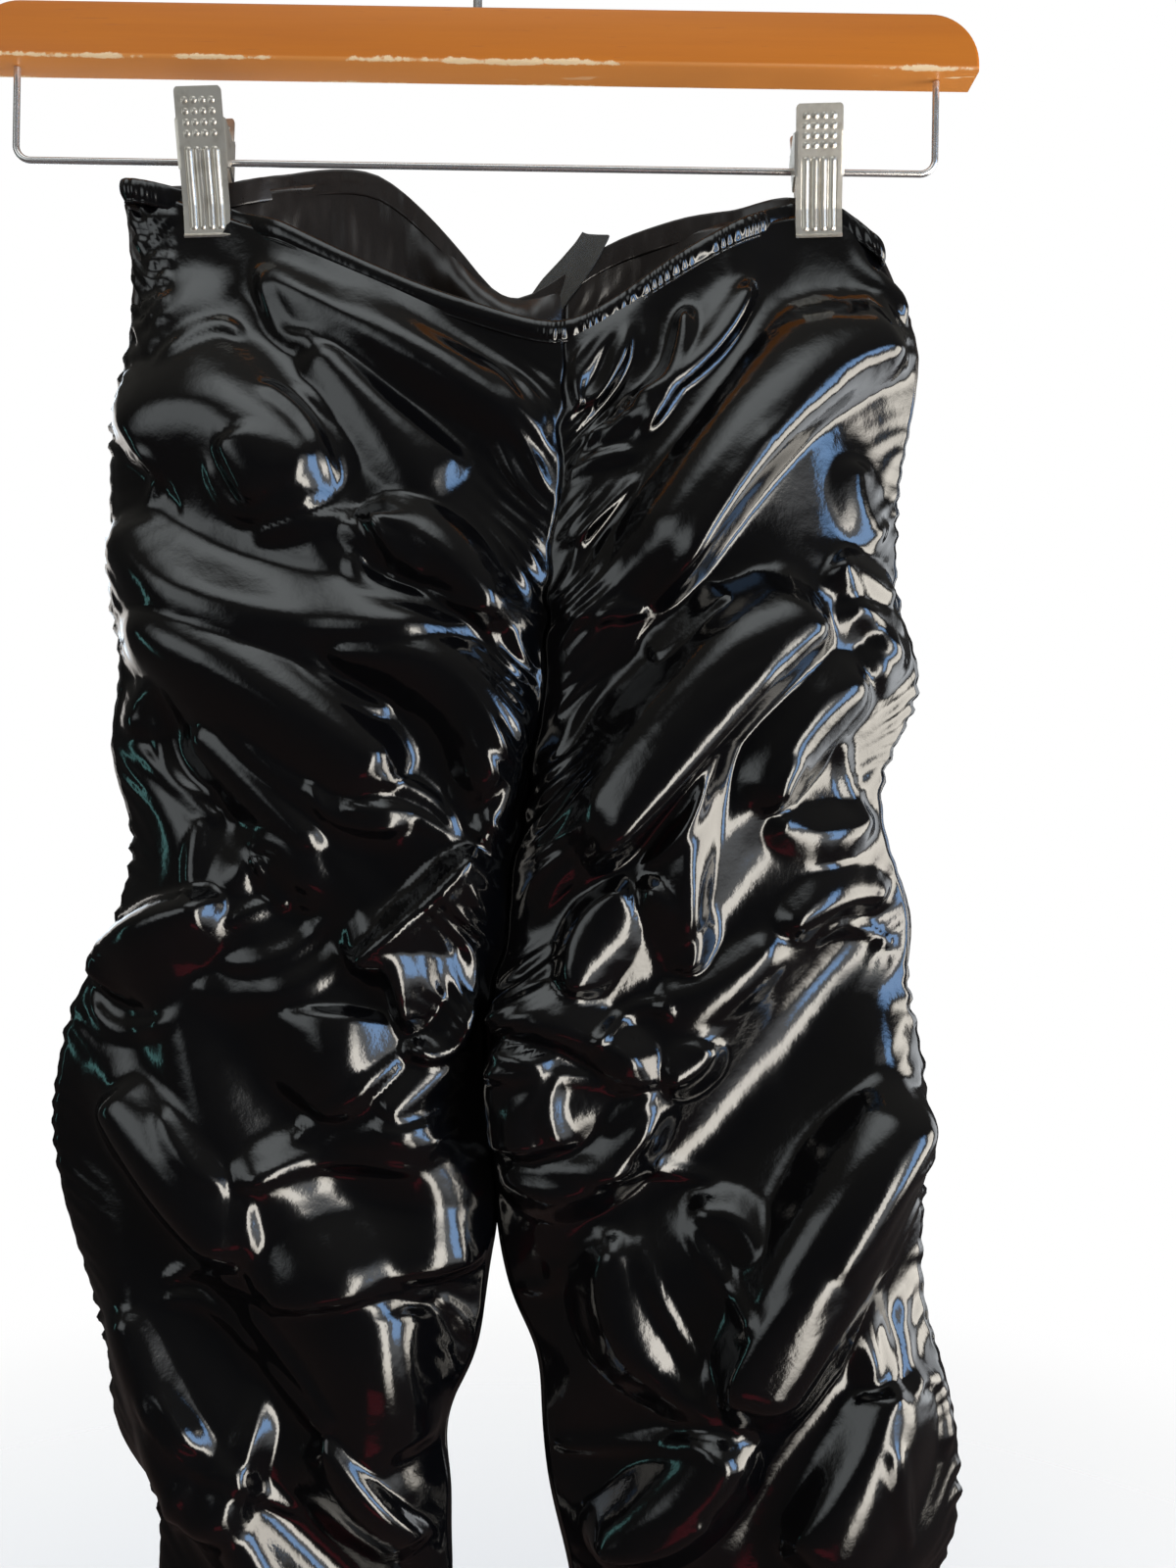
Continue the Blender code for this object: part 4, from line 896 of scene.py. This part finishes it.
class Leg:
    """One leg panel's hanging surface. Across runs from the side seam to the rise or the
    inseam, and hang from the waist's edge to the hem."""

    def __init__(self, hand, face):
        self.side = -1 if hand == "right" else 1
        self.face = face
        self.turned = -1 if face == "front" else 1
        self.edge = FRONT_EDGE if face == "front" else BACK_EDGE
        self.side_line = RIGHT_SIDE if hand == "right" else LEFT_SIDE
        self.inner_line = RIGHT_INNER if hand == "right" else LEFT_INNER
        self.side_top = self.side_line[1][0]
        self.middle_top = float(between(self.edge, "x", "z", RISE[1][1]))
        self.folds, self.creases = [FOLD_COLUMNS], [FOLD_COLUMNS]
        if face == "front":
            self.folds += (RIGHT_FRONT_FOLDS if hand == "right" else LEFT_FRONT_FOLDS)[1:]
            self.creases += (RIGHT_FRONT_CREASES if hand == "right" else LEFT_FRONT_CREASES)[1:]
        for run in HIDDEN_FOLDS[1:]:
            if run[0] == face:
                self.folds += self.hidden_run(*run[1:])

    def middle_x(self, z):
        """The inner end of a row: the rise above the crotch, the leg's inner edge below."""
        rise_x = between(RISE, "z", "x", z)
        return np.where(z >= CROTCH, rise_x, between(self.inner_line, "z", "x", z, LINE_ROUND * 0.5))

    def hidden_run(self, count, first, last, drop, height, spread):
        """Folds that drop from one seam towards the other, uneven in length and depth. Every
        third one starts at the middle, and the rest at the side seam."""
        run = []
        for step in range(count):
            sway = math.sin(2.4 * step + (0.9 if self.side > 0 else 0.0))
            z = first + (last - first) * (step + 0.3 * sway) / (count - 1)
            edges = [float(between(self.side_line, "z", "x", z)), float(self.middle_x(z - drop))]
            if step % 3 == 2:
                edges.reverse()
            start = edges[0] + (edges[1] - edges[0]) * (0.07 + 0.04 * sway)
            end = start + (edges[1] - start) * (0.76 + 0.18 * math.cos(1.7 * step))
            middle, sag = (start + end) / 2, drop * (0.75 + 0.2 * sway)
            tall = height * (0.8 + 0.2 * math.cos(2.1 * step))
            left, right = spread - 2 * sway, spread + 2 * sway
            run.append((start, z, middle, z - sag, end, z - drop, tall, left, right))
        return run

    def heights(self, hang):
        """Height of a row at its side seam and at its inner end."""
        return (
            self.side_top + (HEM - self.side_top) * hang,
            self.middle_top + (HEM - self.middle_top) * hang,
        )

    def pinch(self, x, z):
        """How open the cloth is: 0 in a clip's jaws, 1 well clear of both clips."""
        open_by = 1.0
        for _, clip_x, _, _ in CLIPS[1:]:
            beside = smooth(*CLIP_BESIDE, np.abs(x - clip_x))
            below = smooth(*CLIP_BELOW, z)
            open_by = open_by * (1.0 - (1.0 - beside) * (1.0 - below))
        return open_by

    def base(self, across, hang):
        """Points of the smooth surface before folds, with the cloth as flat as it hangs."""
        side_z, middle_z = self.heights(hang)
        side_x = between(self.side_line, "z", "x", side_z, LINE_ROUND)
        middle_x = self.middle_x(middle_z)
        x = side_x + (middle_x - side_x) * across
        z = side_z + (middle_z - side_z) * across
        top_x = self.side_line[1][1] + (RISE[1][1] - self.side_line[1][1]) * across
        straight = self.side_top + (self.middle_top - self.side_top) * across
        sag = between(self.edge, "x", "z", top_x, EDGE_LINE_ROUND) - straight
        z = z + sag * (1.0 - smooth(0.0, SAG_END, hang))
        turn = np.clip((middle_z - RISE_TURN) / (CROTCH - RISE_TURN), 0.0, 1.0)
        top = 1.0 - ARCH_LEAN * turn
        away = np.where(across < top, 1.0 - across / top, turn * (across - top) / (1.0 - top + 1e-6))
        power = ARCH_POWER + ARCH_FLATTEN * turn
        arch = (1.0 - away**power).clip(0.0) ** (1.0 / power)
        side_edge = self.rounded(np.abs(x - side_x))
        inner_edge = 1.0 - turn * (1.0 - self.rounded(np.abs(x - middle_x)))
        depth = between(DEPTHS, "z", self.face, z) * self.pinch(x, z)
        y = EDGE_ROUND * side_edge * inner_edge + depth * arch
        return np.stack([x, self.turned * (y + SEAM_GAP / 2), z], axis=-1)

    @staticmethod
    def rounded(distance):
        """The quarter round that a flattened panel makes at its edge."""
        return np.sqrt(1.0 - (1.0 - np.minimum(distance / EDGE_REACH, 1.0)) ** 2)

    def normal(self, across, hang):
        """Outward direction of the smooth surface."""
        step_across, step_hang = 0.004, 0.002
        low_across, low_hang = (across - step_across).clip(0.0), (hang - step_hang).clip(0.0)
        high_across = (across + step_across).clip(None, 1.0)
        high_hang = (hang + step_hang).clip(None, 1.0)
        over = self.base(high_across, hang) - self.base(low_across, hang)
        down = self.base(across, high_hang) - self.base(across, low_hang)
        out = np.cross(over, down)
        out *= np.sign(out[..., 1:2] * self.turned + 1e-9)
        return out / np.linalg.norm(out, axis=-1, keepdims=True)

    def fold_fields(self, x, z, folds, crest_round, reach_by=1.0):
        """Height of all these folds at places seen from the front, and how far each place is
        from the nearest crest."""
        height, to_crest = np.zeros_like(x), np.full_like(x, 1e9)
        shares = np.linspace(0.0, 1.0, FOLD_STEPS + 1)
        # Weights that make a curve through a fold's start, middle and end.
        to_start, to_middle = (1 - shares) * (1 - 2 * shares), 4 * shares * (1 - shares)
        to_end = shares * (2 * shares - 1)
        for row in folds[1:]:
            fold = dict(zip(folds[0], row))
            nearest, along, hand = np.full_like(x, 1e9), np.zeros_like(x), np.ones_like(x)
            spots_x = fold["x0"] * to_start + fold["x1"] * to_middle + fold["x2"] * to_end
            spots_z = fold["z0"] * to_start + fold["z1"] * to_middle + fold["z2"] * to_end
            for step in range(FOLD_STEPS):
                run_x, run_z = spots_x[step + 1] - spots_x[step], spots_z[step + 1] - spots_z[step]
                off_x, off_z = x - spots_x[step], z - spots_z[step]
                share = ((off_x * run_x + off_z * run_z) / (run_x**2 + run_z**2)).clip(0.0, 1.0)
                gap = np.hypot(off_x - share * run_x, off_z - share * run_z)
                closer = gap < nearest
                nearest = np.where(closer, gap, nearest)
                along = np.where(closer, (step + share) / FOLD_STEPS, along)
                hand = np.where(closer, np.sign(run_x * off_z - run_z * off_x), hand)
            pointed = FOLD_POINT + (1 - FOLD_POINT) * smooth(-0.1, 0.35, along) * smooth(1.1, 0.6, along)
            spread = reach_by * pointed * np.where(hand > 0, fold["left"], fold["right"])
            reach = np.hypot(nearest / spread, crest_round) - crest_round
            slope = (1.0 - reach / (math.hypot(1.0, crest_round) - crest_round)).clip(0.0)
            slope = slope**2 * (1.0 + FOOT_ROUND) / (slope + FOOT_ROUND)
            taper = smooth(-0.04, 0.14, along) * smooth(1.04, 0.86, along)
            height = np.maximum(height, fold["height"] * slope * taper)
            off_end = np.minimum(along, 1.0 - along)
            to_crest = np.minimum(to_crest, nearest + 20.0 * (0.08 - off_end).clip(0.0) / 0.08)
        return height, to_crest

    def hung(self, across, hang):
        """Points of the folded surface, and how firmly each is held where it is: 1 at the
        seams, the ends and the clips, less along the crests of the folds, 0 elsewhere."""
        base, out = self.base(across, hang), self.normal(across, hang)
        side_z, middle_z = self.heights(hang)
        side_x = between(self.side_line, "z", "x", side_z, LINE_ROUND)
        from_side = np.abs(base[..., 0] - side_x)
        from_middle = np.abs(base[..., 0] - self.middle_x(middle_z))
        off_seam = smooth(0.0, SEAM_FADE, from_side) * smooth(0.0, SEAM_FADE, from_middle)
        off_waist = smooth(*WAIST_FADE, hang)
        open_by = self.pinch(base[..., 0], base[..., 2])
        height, to_crest = self.fold_fields(base[..., 0], base[..., 2], self.folds, CREST_ROUND, FOLD_REACH)
        points = base + out * (FOLD_SWELL * height * off_seam * off_waist * open_by)[..., None]
        held = CREST_HOLD * np.exp(-((to_crest / CREST_REACH) ** 2)) * off_seam * off_waist
        held[open_by < 0.02] = 1.0
        held[:, 0] = held[:, -1] = held[0] = held[-1] = 1.0
        return points, held

    def cut(self, across, hang):
        """The flat cut that the panel is gathered from, laid level with the hung one."""
        base = self.base(across, hang)
        over = np.linalg.norm(np.diff(base, axis=1), axis=2)
        over = np.concatenate([np.zeros((len(base), 1)), np.cumsum(over, axis=1)], axis=1)
        down = np.linalg.norm(np.diff(base, axis=0), axis=2).mean(axis=1)
        down = np.concatenate([[0.0], np.cumsum(down)])
        middle = (base[:, 0, 0] + base[:, -1, 0]) / 2
        x = middle[:, None] - self.side * (over - over[:, -1:] / 2) * EASE
        z = np.broadcast_to(base[0, :, 2].mean() - down[:, None] * RUCHE, x.shape)
        return np.stack([x, np.full_like(x, base[..., 1].mean()), z], axis=-1)


def drawn_through(points, places):
    """A cubic spline surface over the rows of a grid, read at these places in rows. It keeps
    the first and the last row."""
    padded = np.concatenate([2 * points[:1] - points[1:2], points, 2 * points[-1:] - points[-2:-1]])
    first = np.minimum(places.astype(int), len(points) - 2)
    share = (places - first).reshape(-1, *[1] * (points.ndim - 1))
    weights = (
        (1 - share) ** 3 / 6,
        (3 * share**3 - 6 * share**2 + 4) / 6,
        (-3 * share**3 + 3 * share**2 + 3 * share + 1) / 6,
        share**3 / 6,
    )
    return sum(weight * padded[first + step] for step, weight in enumerate(weights))


def lengths(points):
    """How far along each row of a grid its points are, in mm."""
    steps = np.linalg.norm(np.diff(points, axis=1), axis=2)
    return np.concatenate([np.zeros((len(points), 1)), np.cumsum(steps, axis=1)], axis=1)


def outward(points, turned):
    """The direction off the sheet at each point of a grid."""
    out = np.cross(np.gradient(points, axis=1), np.gradient(points, axis=0))
    out *= np.sign((out[..., 1] * turned).sum())
    return out / (np.linalg.norm(out, axis=-1, keepdims=True) + 1e-9)


def seam_lift(leg, points, over, down):
    """How far the gathers on a panel's two seams lift it, uneven in height and slanted."""
    wide = over[:, -1:]
    lift = np.zeros(over.shape)
    for seam, off, run in (("side", over, down[:, :1]), ("rise", wide - over, down[:, -1:])):
        pitch, height, reach, slant = PUCKERS[seam]
        swing = 2.4 * np.sin(run / 11.0 + leg.side) + 1.3 * np.sin(run / 5.3 + 2.0 * leg.turned)
        wave = np.sin(2 * math.pi * (run - slant * off) / pitch + swing)
        tall = height * (0.5 + 0.5 * np.sin(run / 19.0 + 1.3 * leg.side) * np.sin(run / 8.0))
        if seam == "rise":
            tall = tall * (0.1 + 0.9 * smooth(CROTCH - 20.0, CROTCH + 30.0, points[:, -1:, 2]))
        lift += tall * (0.5 + 0.5 * wave) ** 1.4 * (off / reach) * np.exp(0.5 - 0.5 * (off / reach) ** 2)
    return lift


def press_creases(leg, points, over, down):
    """The settled sheet with the gathers on its seams, and its creases and crests pressed in."""
    out, inward = outward(points, leg.turned), over[:, -1:] - over
    x, z = points[..., 0], points[..., 2]
    clear = smooth(*PUCKERS_BEGIN, down) * leg.pinch(x, z)
    creases, _ = leg.fold_fields(x, z, leg.creases, CREASE_ROUND)
    crests, _ = leg.fold_fields(x, z, leg.folds, CREST_ROUND, FOLD_REACH)
    pressed = CREASE_SHARE * creases + CREST_SHARPEN * crests
    inside = smooth(0.0, 8.0, over) * smooth(0.0, 8.0, inward)
    points = points + out * ((seam_lift(leg, points, over, down) + pressed * inside) * clear)[..., None]
    x, z = points[..., 0], points[..., 2]
    strip = smooth(*STRIP_EDGE, x) * smooth(*STRIP_FOOT, z)
    crinkle = np.sin(z / 1.9 + 2.0 * np.sin(x / 3.1)) * np.sin(x / 2.3 + 1.7 * np.sin(z / 5.2))
    return points + out * (STRIP_CRINKLE * crinkle * strip)[..., None]


def draw_in(leg, points, over, down):
    """The elastic's pull: the side seam ripples, the rise wanders and sinks in a trough, and
    the deepest folds are flattened."""
    run, inward, z = down[:, :1], over[:, -1:] - over, points[..., 2]
    uneven = np.sin(run / 31.0 + leg.side) * np.sin(run / 13.0) + 0.4 * np.sin(run / 7.0)
    ripple = SEAM_RIPPLE * uneven * np.sin(run / 1.5 + 2.2 * np.sin(run / 15.0))
    points[..., 0] += leg.side * (ripple * smooth(12.0, 30.0, run)) * np.exp(-over / 5.0)
    wander = SEAM_RIPPLE * (np.sin(z / 4.6 + 2.0 * np.sin(z / 13.0)) + 0.6 * np.sin(z / 9.7))
    on_rise = smooth(-225.0, -250.0, z) * smooth(CROTCH, CROTCH + 20.0, z)
    points[..., 0] += wander * on_rise * np.exp(-inward / 4.0)
    sunk = smooth(-240.0, -400.0, z) * smooth(CROTCH, CROTCH + 50.0, z)
    trough = RISE_TROUGH * sunk * np.exp(-((inward / RISE_TROUGH_WIDTH) ** 2))
    depth = points[..., 1] * leg.turned - trough
    spare = DEEPEST - FLATTEN_FROM
    flattened = FLATTEN_FROM + spare * np.tanh((depth - FLATTEN_FROM).clip(0.0) / spare)
    points[..., 1] = np.where(depth > FLATTEN_FROM, flattened, depth).clip(SEAM_GAP / 2) * leg.turned
    return points


def woven(name, points):
    """A sheet of quads through a grid of points in mm."""
    rows, columns = points.shape[:2]
    places = np.arange(rows * columns).reshape(rows, columns)
    corners = [places[:-1, :-1], places[1:, :-1], places[1:, 1:], places[:-1, 1:]]
    mesh = bpy.data.meshes.new(name)
    mesh.from_pydata((points.reshape(-1, 3) * MM).tolist(), [], np.stack(corners, -1).reshape(-1, 4).tolist())
    made = bpy.data.objects.new(name, mesh)
    scene.collection.objects.link(made)
    return made


def settle(name, flat, hung, held):
    """Cloth cut flat that is gathered to where it is held, and settles in between."""
    panel = woven(name, flat)
    mesh = panel.data
    grip = panel.vertex_groups.new(name="held")
    for place, firmness in enumerate(held.ravel()):
        if firmness > 0.02:
            grip.add([place], float(firmness), "REPLACE")
    panel.shape_key_add(name="cut", from_mix=False)
    key = panel.shape_key_add(name="hung", from_mix=False)
    key.data.foreach_set("co", (hung * MM).ravel())
    key.value = 0.0
    key.keyframe_insert("value", frame=1)
    key.value = 1.0
    key.keyframe_insert("value", frame=GATHER_FRAMES)
    cloth = panel.modifiers.new("settle", "CLOTH")
    settings = cloth.settings
    settings.quality = 5
    settings.mass = 0.3
    settings.tension_stiffness = settings.compression_stiffness = 15
    settings.shear_stiffness = 5
    settings.bending_stiffness = 300
    settings.bending_damping = 0.5
    settings.vertex_group_mass = grip.name
    settings.effector_weights.gravity = 0.3
    cloth.point_cache.frame_start = 1
    cloth.point_cache.frame_end = SETTLE_FRAMES + 1
    for number in range(1, SETTLE_FRAMES + 1):
        scene.frame_set(number)
    settled = panel.evaluated_get(bpy.context.evaluated_depsgraph_get()).to_mesh()
    points = np.empty(hung.size)
    settled.vertices.foreach_get("co", points)
    bpy.data.objects.remove(panel)
    bpy.data.meshes.remove(mesh)
    scene.frame_set(1)
    return points.reshape(hung.shape) / MM


def redrawn(settled, face):
    """The settled grid, calmed and then drawn finer, with most of its rows above the knee."""
    for _ in range(CALM_PASSES):
        settled[1:-1] = (settled[:-2] + 2 * settled[1:-1] + settled[2:]) / 4
        settled[:, 1:-1] = (settled[:, :-2] + 2 * settled[:, 1:-1] + settled[:, 2:]) / 4
    rows, columns = SHEET_GRID[face]
    knee = int(rows * KNEE_ROWS)
    above = np.linspace(0.0, KNEE_SHARE, knee, endpoint=False)
    below = np.linspace(KNEE_SHARE, 1.0, rows - knee)
    down = np.concatenate([above, below]) * (settled.shape[0] - 1)
    points = drawn_through(settled, down).transpose(1, 0, 2)
    points = drawn_through(points, np.linspace(0.0, settled.shape[1] - 1.0, columns))
    return points.transpose(1, 0, 2)


def vinyl_finish(nodes):
    spot = nodes.place()
    swell = nodes.noise(spot, 42.0, 2.0, 0.5)
    ripple = nodes.noise(spot, 190.0, 3.0, 0.6)
    fine = nodes.noise(spot, 900.0, 2.0, 0.5)
    smear = nodes.noise(spot, 26.0, 4.0, 0.6)
    return {
        "Roughness": 0.08 + smear.step(0.4, 0.8) * 0.07 + fine * 0.02,
        "Normal": nodes.bump(swell * 3.0 + ripple * 0.7 + fine * 0.06, 0.0008, 0.2),
    }


vinyl = finish_material("black vinyl", {"Base Color": VINYL_BLACK, "IOR": 1.55}, vinyl_finish)


def backing_finish(nodes):
    spot = nodes.place()
    knit = nodes.noise(spot, 1.0, 2.0, 0.5, stretch=(1400, 1400, 700))
    cloud = nodes.noise(spot, 60.0, 3.0, 0.5)
    folds = nodes.noise(spot, 1.0, 2.0, 0.5, stretch=(52, 52, 20))
    return {
        "Base Color": nodes.blend(KNIT_BROWN, KNIT_SHADE, knit),
        "Roughness": 0.22 + cloud * 0.14,
        "Normal": nodes.bump(folds + knit * 0.01, 0.006, 0.6),
    }


backing = finish_material("brown knit backing", {"IOR": 1.6}, backing_finish)


def leg_panel(hand, face):
    """One panel, settled, drawn finer and given its thickness, then attached to the root in place of its
    imported part.
    """
    leg = Leg(hand, face)
    rows, columns = CLOTH_GRID[face]
    across, hang = np.meshgrid(np.linspace(0.0, 1.0, columns), np.linspace(PANEL_TOP, 1.0, rows))
    flat = leg.cut(across, hang)
    points = redrawn(settle(f"settling_{face}_{hand}", flat, *leg.hung(across, hang)), face)
    over, down = lengths(points), lengths(points.transpose(1, 0, 2)).T
    points = draw_in(leg, press_creases(leg, points, over, down), over, down)
    panel = woven(f"cloth_{face}_{hand}", points)
    mesh = panel.data
    face_towards(mesh, leg.turned)
    mesh.materials.append(vinyl)
    mesh.materials.append(backing)
    mesh.shade_smooth()
    wall = panel.modifiers.new("wall", "SOLIDIFY")
    wall.thickness = WALL * MM
    wall.offset = -1.0
    wall.material_offset = 1
    wall.material_offset_rim = 0
    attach(panel, "root")
    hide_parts(f"{face}_leg_{hand}")


for face in ("front", "back"):
    for hand in ("right", "left"):
        leg_panel(hand, face)

# ---------------------------------------------------------------------------------------
# The waist casing: a strip of the same vinyl folded over elastic and stitched down, so
# that it stands in fine gathers along its lower edge. Front and back meet at the sides.
# ---------------------------------------------------------------------------------------
# The casing's height as a share of the way down to the hem, and how far its inner skin
# lies inside the panels.
CASING_SHARE = 0.0108
CASING_INNER = 1.52
# How far apart and how high the gathers are, and how much their waves shift on the way down.
GATHER_PITCH, GATHER_HEIGHT = 3.4, 0.9
GATHER_LEAN = 1.6
# The right half is stretched nearly flat between these soft steps, as shares of its width
# from the side seam. In a clip's jaws the casing stands out by this share of its usual.
FLAT_FROM, FLAT_TO, FLATTENED = (0.16, 0.24), (1.0, 0.9), 0.95
CLIPPED_HEIGHT = 0.25
# Down the casing: how far it stands out, and how much of the gathers' height it has.
CASING_ROWS = (
    ("share", "out", "gather"),
    (0.0, 0.2, 0.3),
    (0.1, 1.0, 0.6),
    (0.35, 1.5, 1.0),
    (0.6, 1.3, 1.2),
    (0.8, 0.4, 0.9),
    (0.88, -0.3, 0.4),
    (1.0, 0.6, 1.3),
)


def casing_skins(face):
    """The outer and inner skins of one half ring, from the right side seam to the left one."""
    rows_out, rows_in = [], []
    for hand in ("right", "left"):
        leg = Leg(hand, face)
        width = abs(RISE[1][1] - leg.side_line[1][1])
        count = int(round(width / GATHER_PITCH)) * 6 + 1
        across = np.linspace(0.0, 1.0, count)
        along = across * width
        phase = along * 2 * math.pi / GATHER_PITCH + 1.9 * np.sin(along / 4.7) + 1.3 * np.sin(along / 2.1)
        swell = 0.62 + 0.5 * np.sin(along / 3.7) * np.cos(along / 8.3)
        if hand == "right":
            swell = swell * (1.0 - FLATTENED * smooth(*FLAT_FROM, across) * smooth(*FLAT_TO, across))
        outer, inner = [], []
        for share, out, gather in CASING_ROWS[1:]:
            level = np.full(count, share * CASING_SHARE)
            spots, normal = leg.base(across, level), leg.normal(across, level)
            normal[:, 2] = 0.0
            normal /= np.linalg.norm(normal, axis=1, keepdims=True)
            open_by = CLIPPED_HEIGHT + (1 - CLIPPED_HEIGHT) * leg.pinch(spots[:, 0], spots[:, 2])
            # The gathers lean over as they go down.
            leaning = (0.5 + 0.5 * np.sin(phase + GATHER_LEAN * share)) * swell * smooth(0.0, 0.03, across)
            lift = (out + gather * leaning * GATHER_HEIGHT) * open_by
            outer.append(spots + normal * lift[:, None])
            inner.append(spots - normal * CASING_INNER)
        order = slice(None) if hand == "right" else slice(-2, None, -1)
        rows_out.append(np.stack(outer, axis=1)[order])
        rows_in.append(np.stack(inner, axis=1)[order])
    return np.concatenate(rows_out), np.concatenate(rows_in)


def casing(face):
    """One half ring, closed round its edges, with vinyl outside and the backing inside."""
    facing = -1 if face == "front" else 1
    outer, inner = casing_skins(face)
    ring = np.concatenate([outer, inner[:, ::-1]], axis=1)
    columns, around = ring.shape[:2]
    places = np.arange(columns * around).reshape(columns, around)
    beside = np.roll(places, -1, axis=1)
    faces = np.stack([places[:-1], beside[:-1], beside[1:], places[1:]], axis=-1).reshape(-1, 4).tolist()
    faces += [places[0].tolist(), places[-1, ::-1].tolist()]
    mesh = bpy.data.meshes.new(f"casing_{face}")
    mesh.from_pydata((ring.reshape(-1, 3) * MM).tolist(), [], faces)
    made = bpy.data.objects.new(mesh.name, mesh)
    scene.collection.objects.link(made)
    shape = bmesh.new()
    shape.from_mesh(mesh)
    bmesh.ops.recalc_face_normals(shape, faces=shape.faces)
    for one in shape.faces:
        one.material_index = int(one.normal.y * facing < -0.4)
    shape.to_mesh(mesh)
    shape.free()
    mesh.materials.append(vinyl)
    mesh.materials.append(backing)
    mesh.shade_smooth()
    finer = made.modifiers.new("finer", "SUBSURF")
    finer.levels = finer.render_levels = 1
    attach(made, "root")
    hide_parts(f"waist_casing_{face}")
    width = float(lengths(outer.transpose(1, 0, 2))[:, -1].max())


for face in ("front", "back"):
    casing(face)

# ---------------------------------------------------------------------------------------
# The ribbon: a short length of flat, finely ribbed olive tape. It is sewn inside the back
# waist and stands up past the casing, with its end cut on a slant.
# ---------------------------------------------------------------------------------------
RIBBON = [
    ("x", "y", "z", "width"),
    (23, 14.3, -212, 15),
    (27, 13.55, -203, 15),
    (33, 12.75, -194, 14.5),
    (40, 11.9, -186, 13.5),
    (46, 11.2, -178, 12),
    (50, 10.7, -171, 11),
]
RIBBON_WALL = 0.9
RIBBON_SLANT = 3.0
RIBBON_CURL = 0.5
OLIVE, OLIVE_SHADE = (0.050, 0.045, 0.034, 1.0), (0.020, 0.018, 0.015, 1.0)


def ribbon_finish(nodes):
    spot = nodes.place()
    along = nodes.part(spot, "X") * 0.72 - nodes.part(spot, "Z") * 0.69
    ribs = nodes.add("ShaderNodeMath", {"operation": "SINE"}, {0: along * 9000.0})
    cloud = nodes.noise(spot, 200.0, 3.0, 0.6)
    return {
        "Base Color": nodes.blend(OLIVE, OLIVE_SHADE, cloud),
        "Roughness": 0.6 + cloud * 0.2,
        "Normal": nodes.bump(ribs * 0.5, 0.0002, 0.5),
    }


spots = np.stack([column(RIBBON, name) for name in ("x", "y", "z")], axis=1)
widths = column(RIBBON, "width")
fine = np.linspace(0, len(spots) - 1, 4 * len(spots))
spots = np.stack([np.interp(fine, np.arange(len(spots)), spots[:, axis]) for axis in range(3)], axis=1)
widths = np.interp(fine, np.arange(len(widths)), widths)
heading = np.gradient(spots, axis=0)
heading /= np.linalg.norm(heading, axis=1, keepdims=True)
sideways = np.cross(np.array([0.0, 1.0, 0.0]), heading)
sideways /= np.linalg.norm(sideways, axis=1, keepdims=True)
steps = np.linspace(-1, 1, 7)
ribbon_points = []
for place, spot in enumerate(spots):
    slant = heading[place] * RIBBON_SLANT * (place == len(spots) - 1)
    for step in steps:
        curl = np.array([0.0, -RIBBON_CURL * step * step, 0.0])
        ribbon_points.append(spot + (sideways[place] * widths[place] / 2 + slant) * step + curl)
ribbon = woven("ribbon_tape", np.array(ribbon_points).reshape(len(spots), len(steps), 3))
ribbon.data.materials.append(finish_material("olive tape", {"Sheen Weight": 0.15}, ribbon_finish))
ribbon.data.shade_smooth()
wall = ribbon.modifiers.new("wall", "SOLIDIFY")
wall.thickness = RIBBON_WALL * MM
wall.offset = 0.0
finer = ribbon.modifiers.new("finer", "SUBSURF")
finer.levels = finer.render_levels = 1
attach(ribbon, "root")
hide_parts("waist_ribbon")
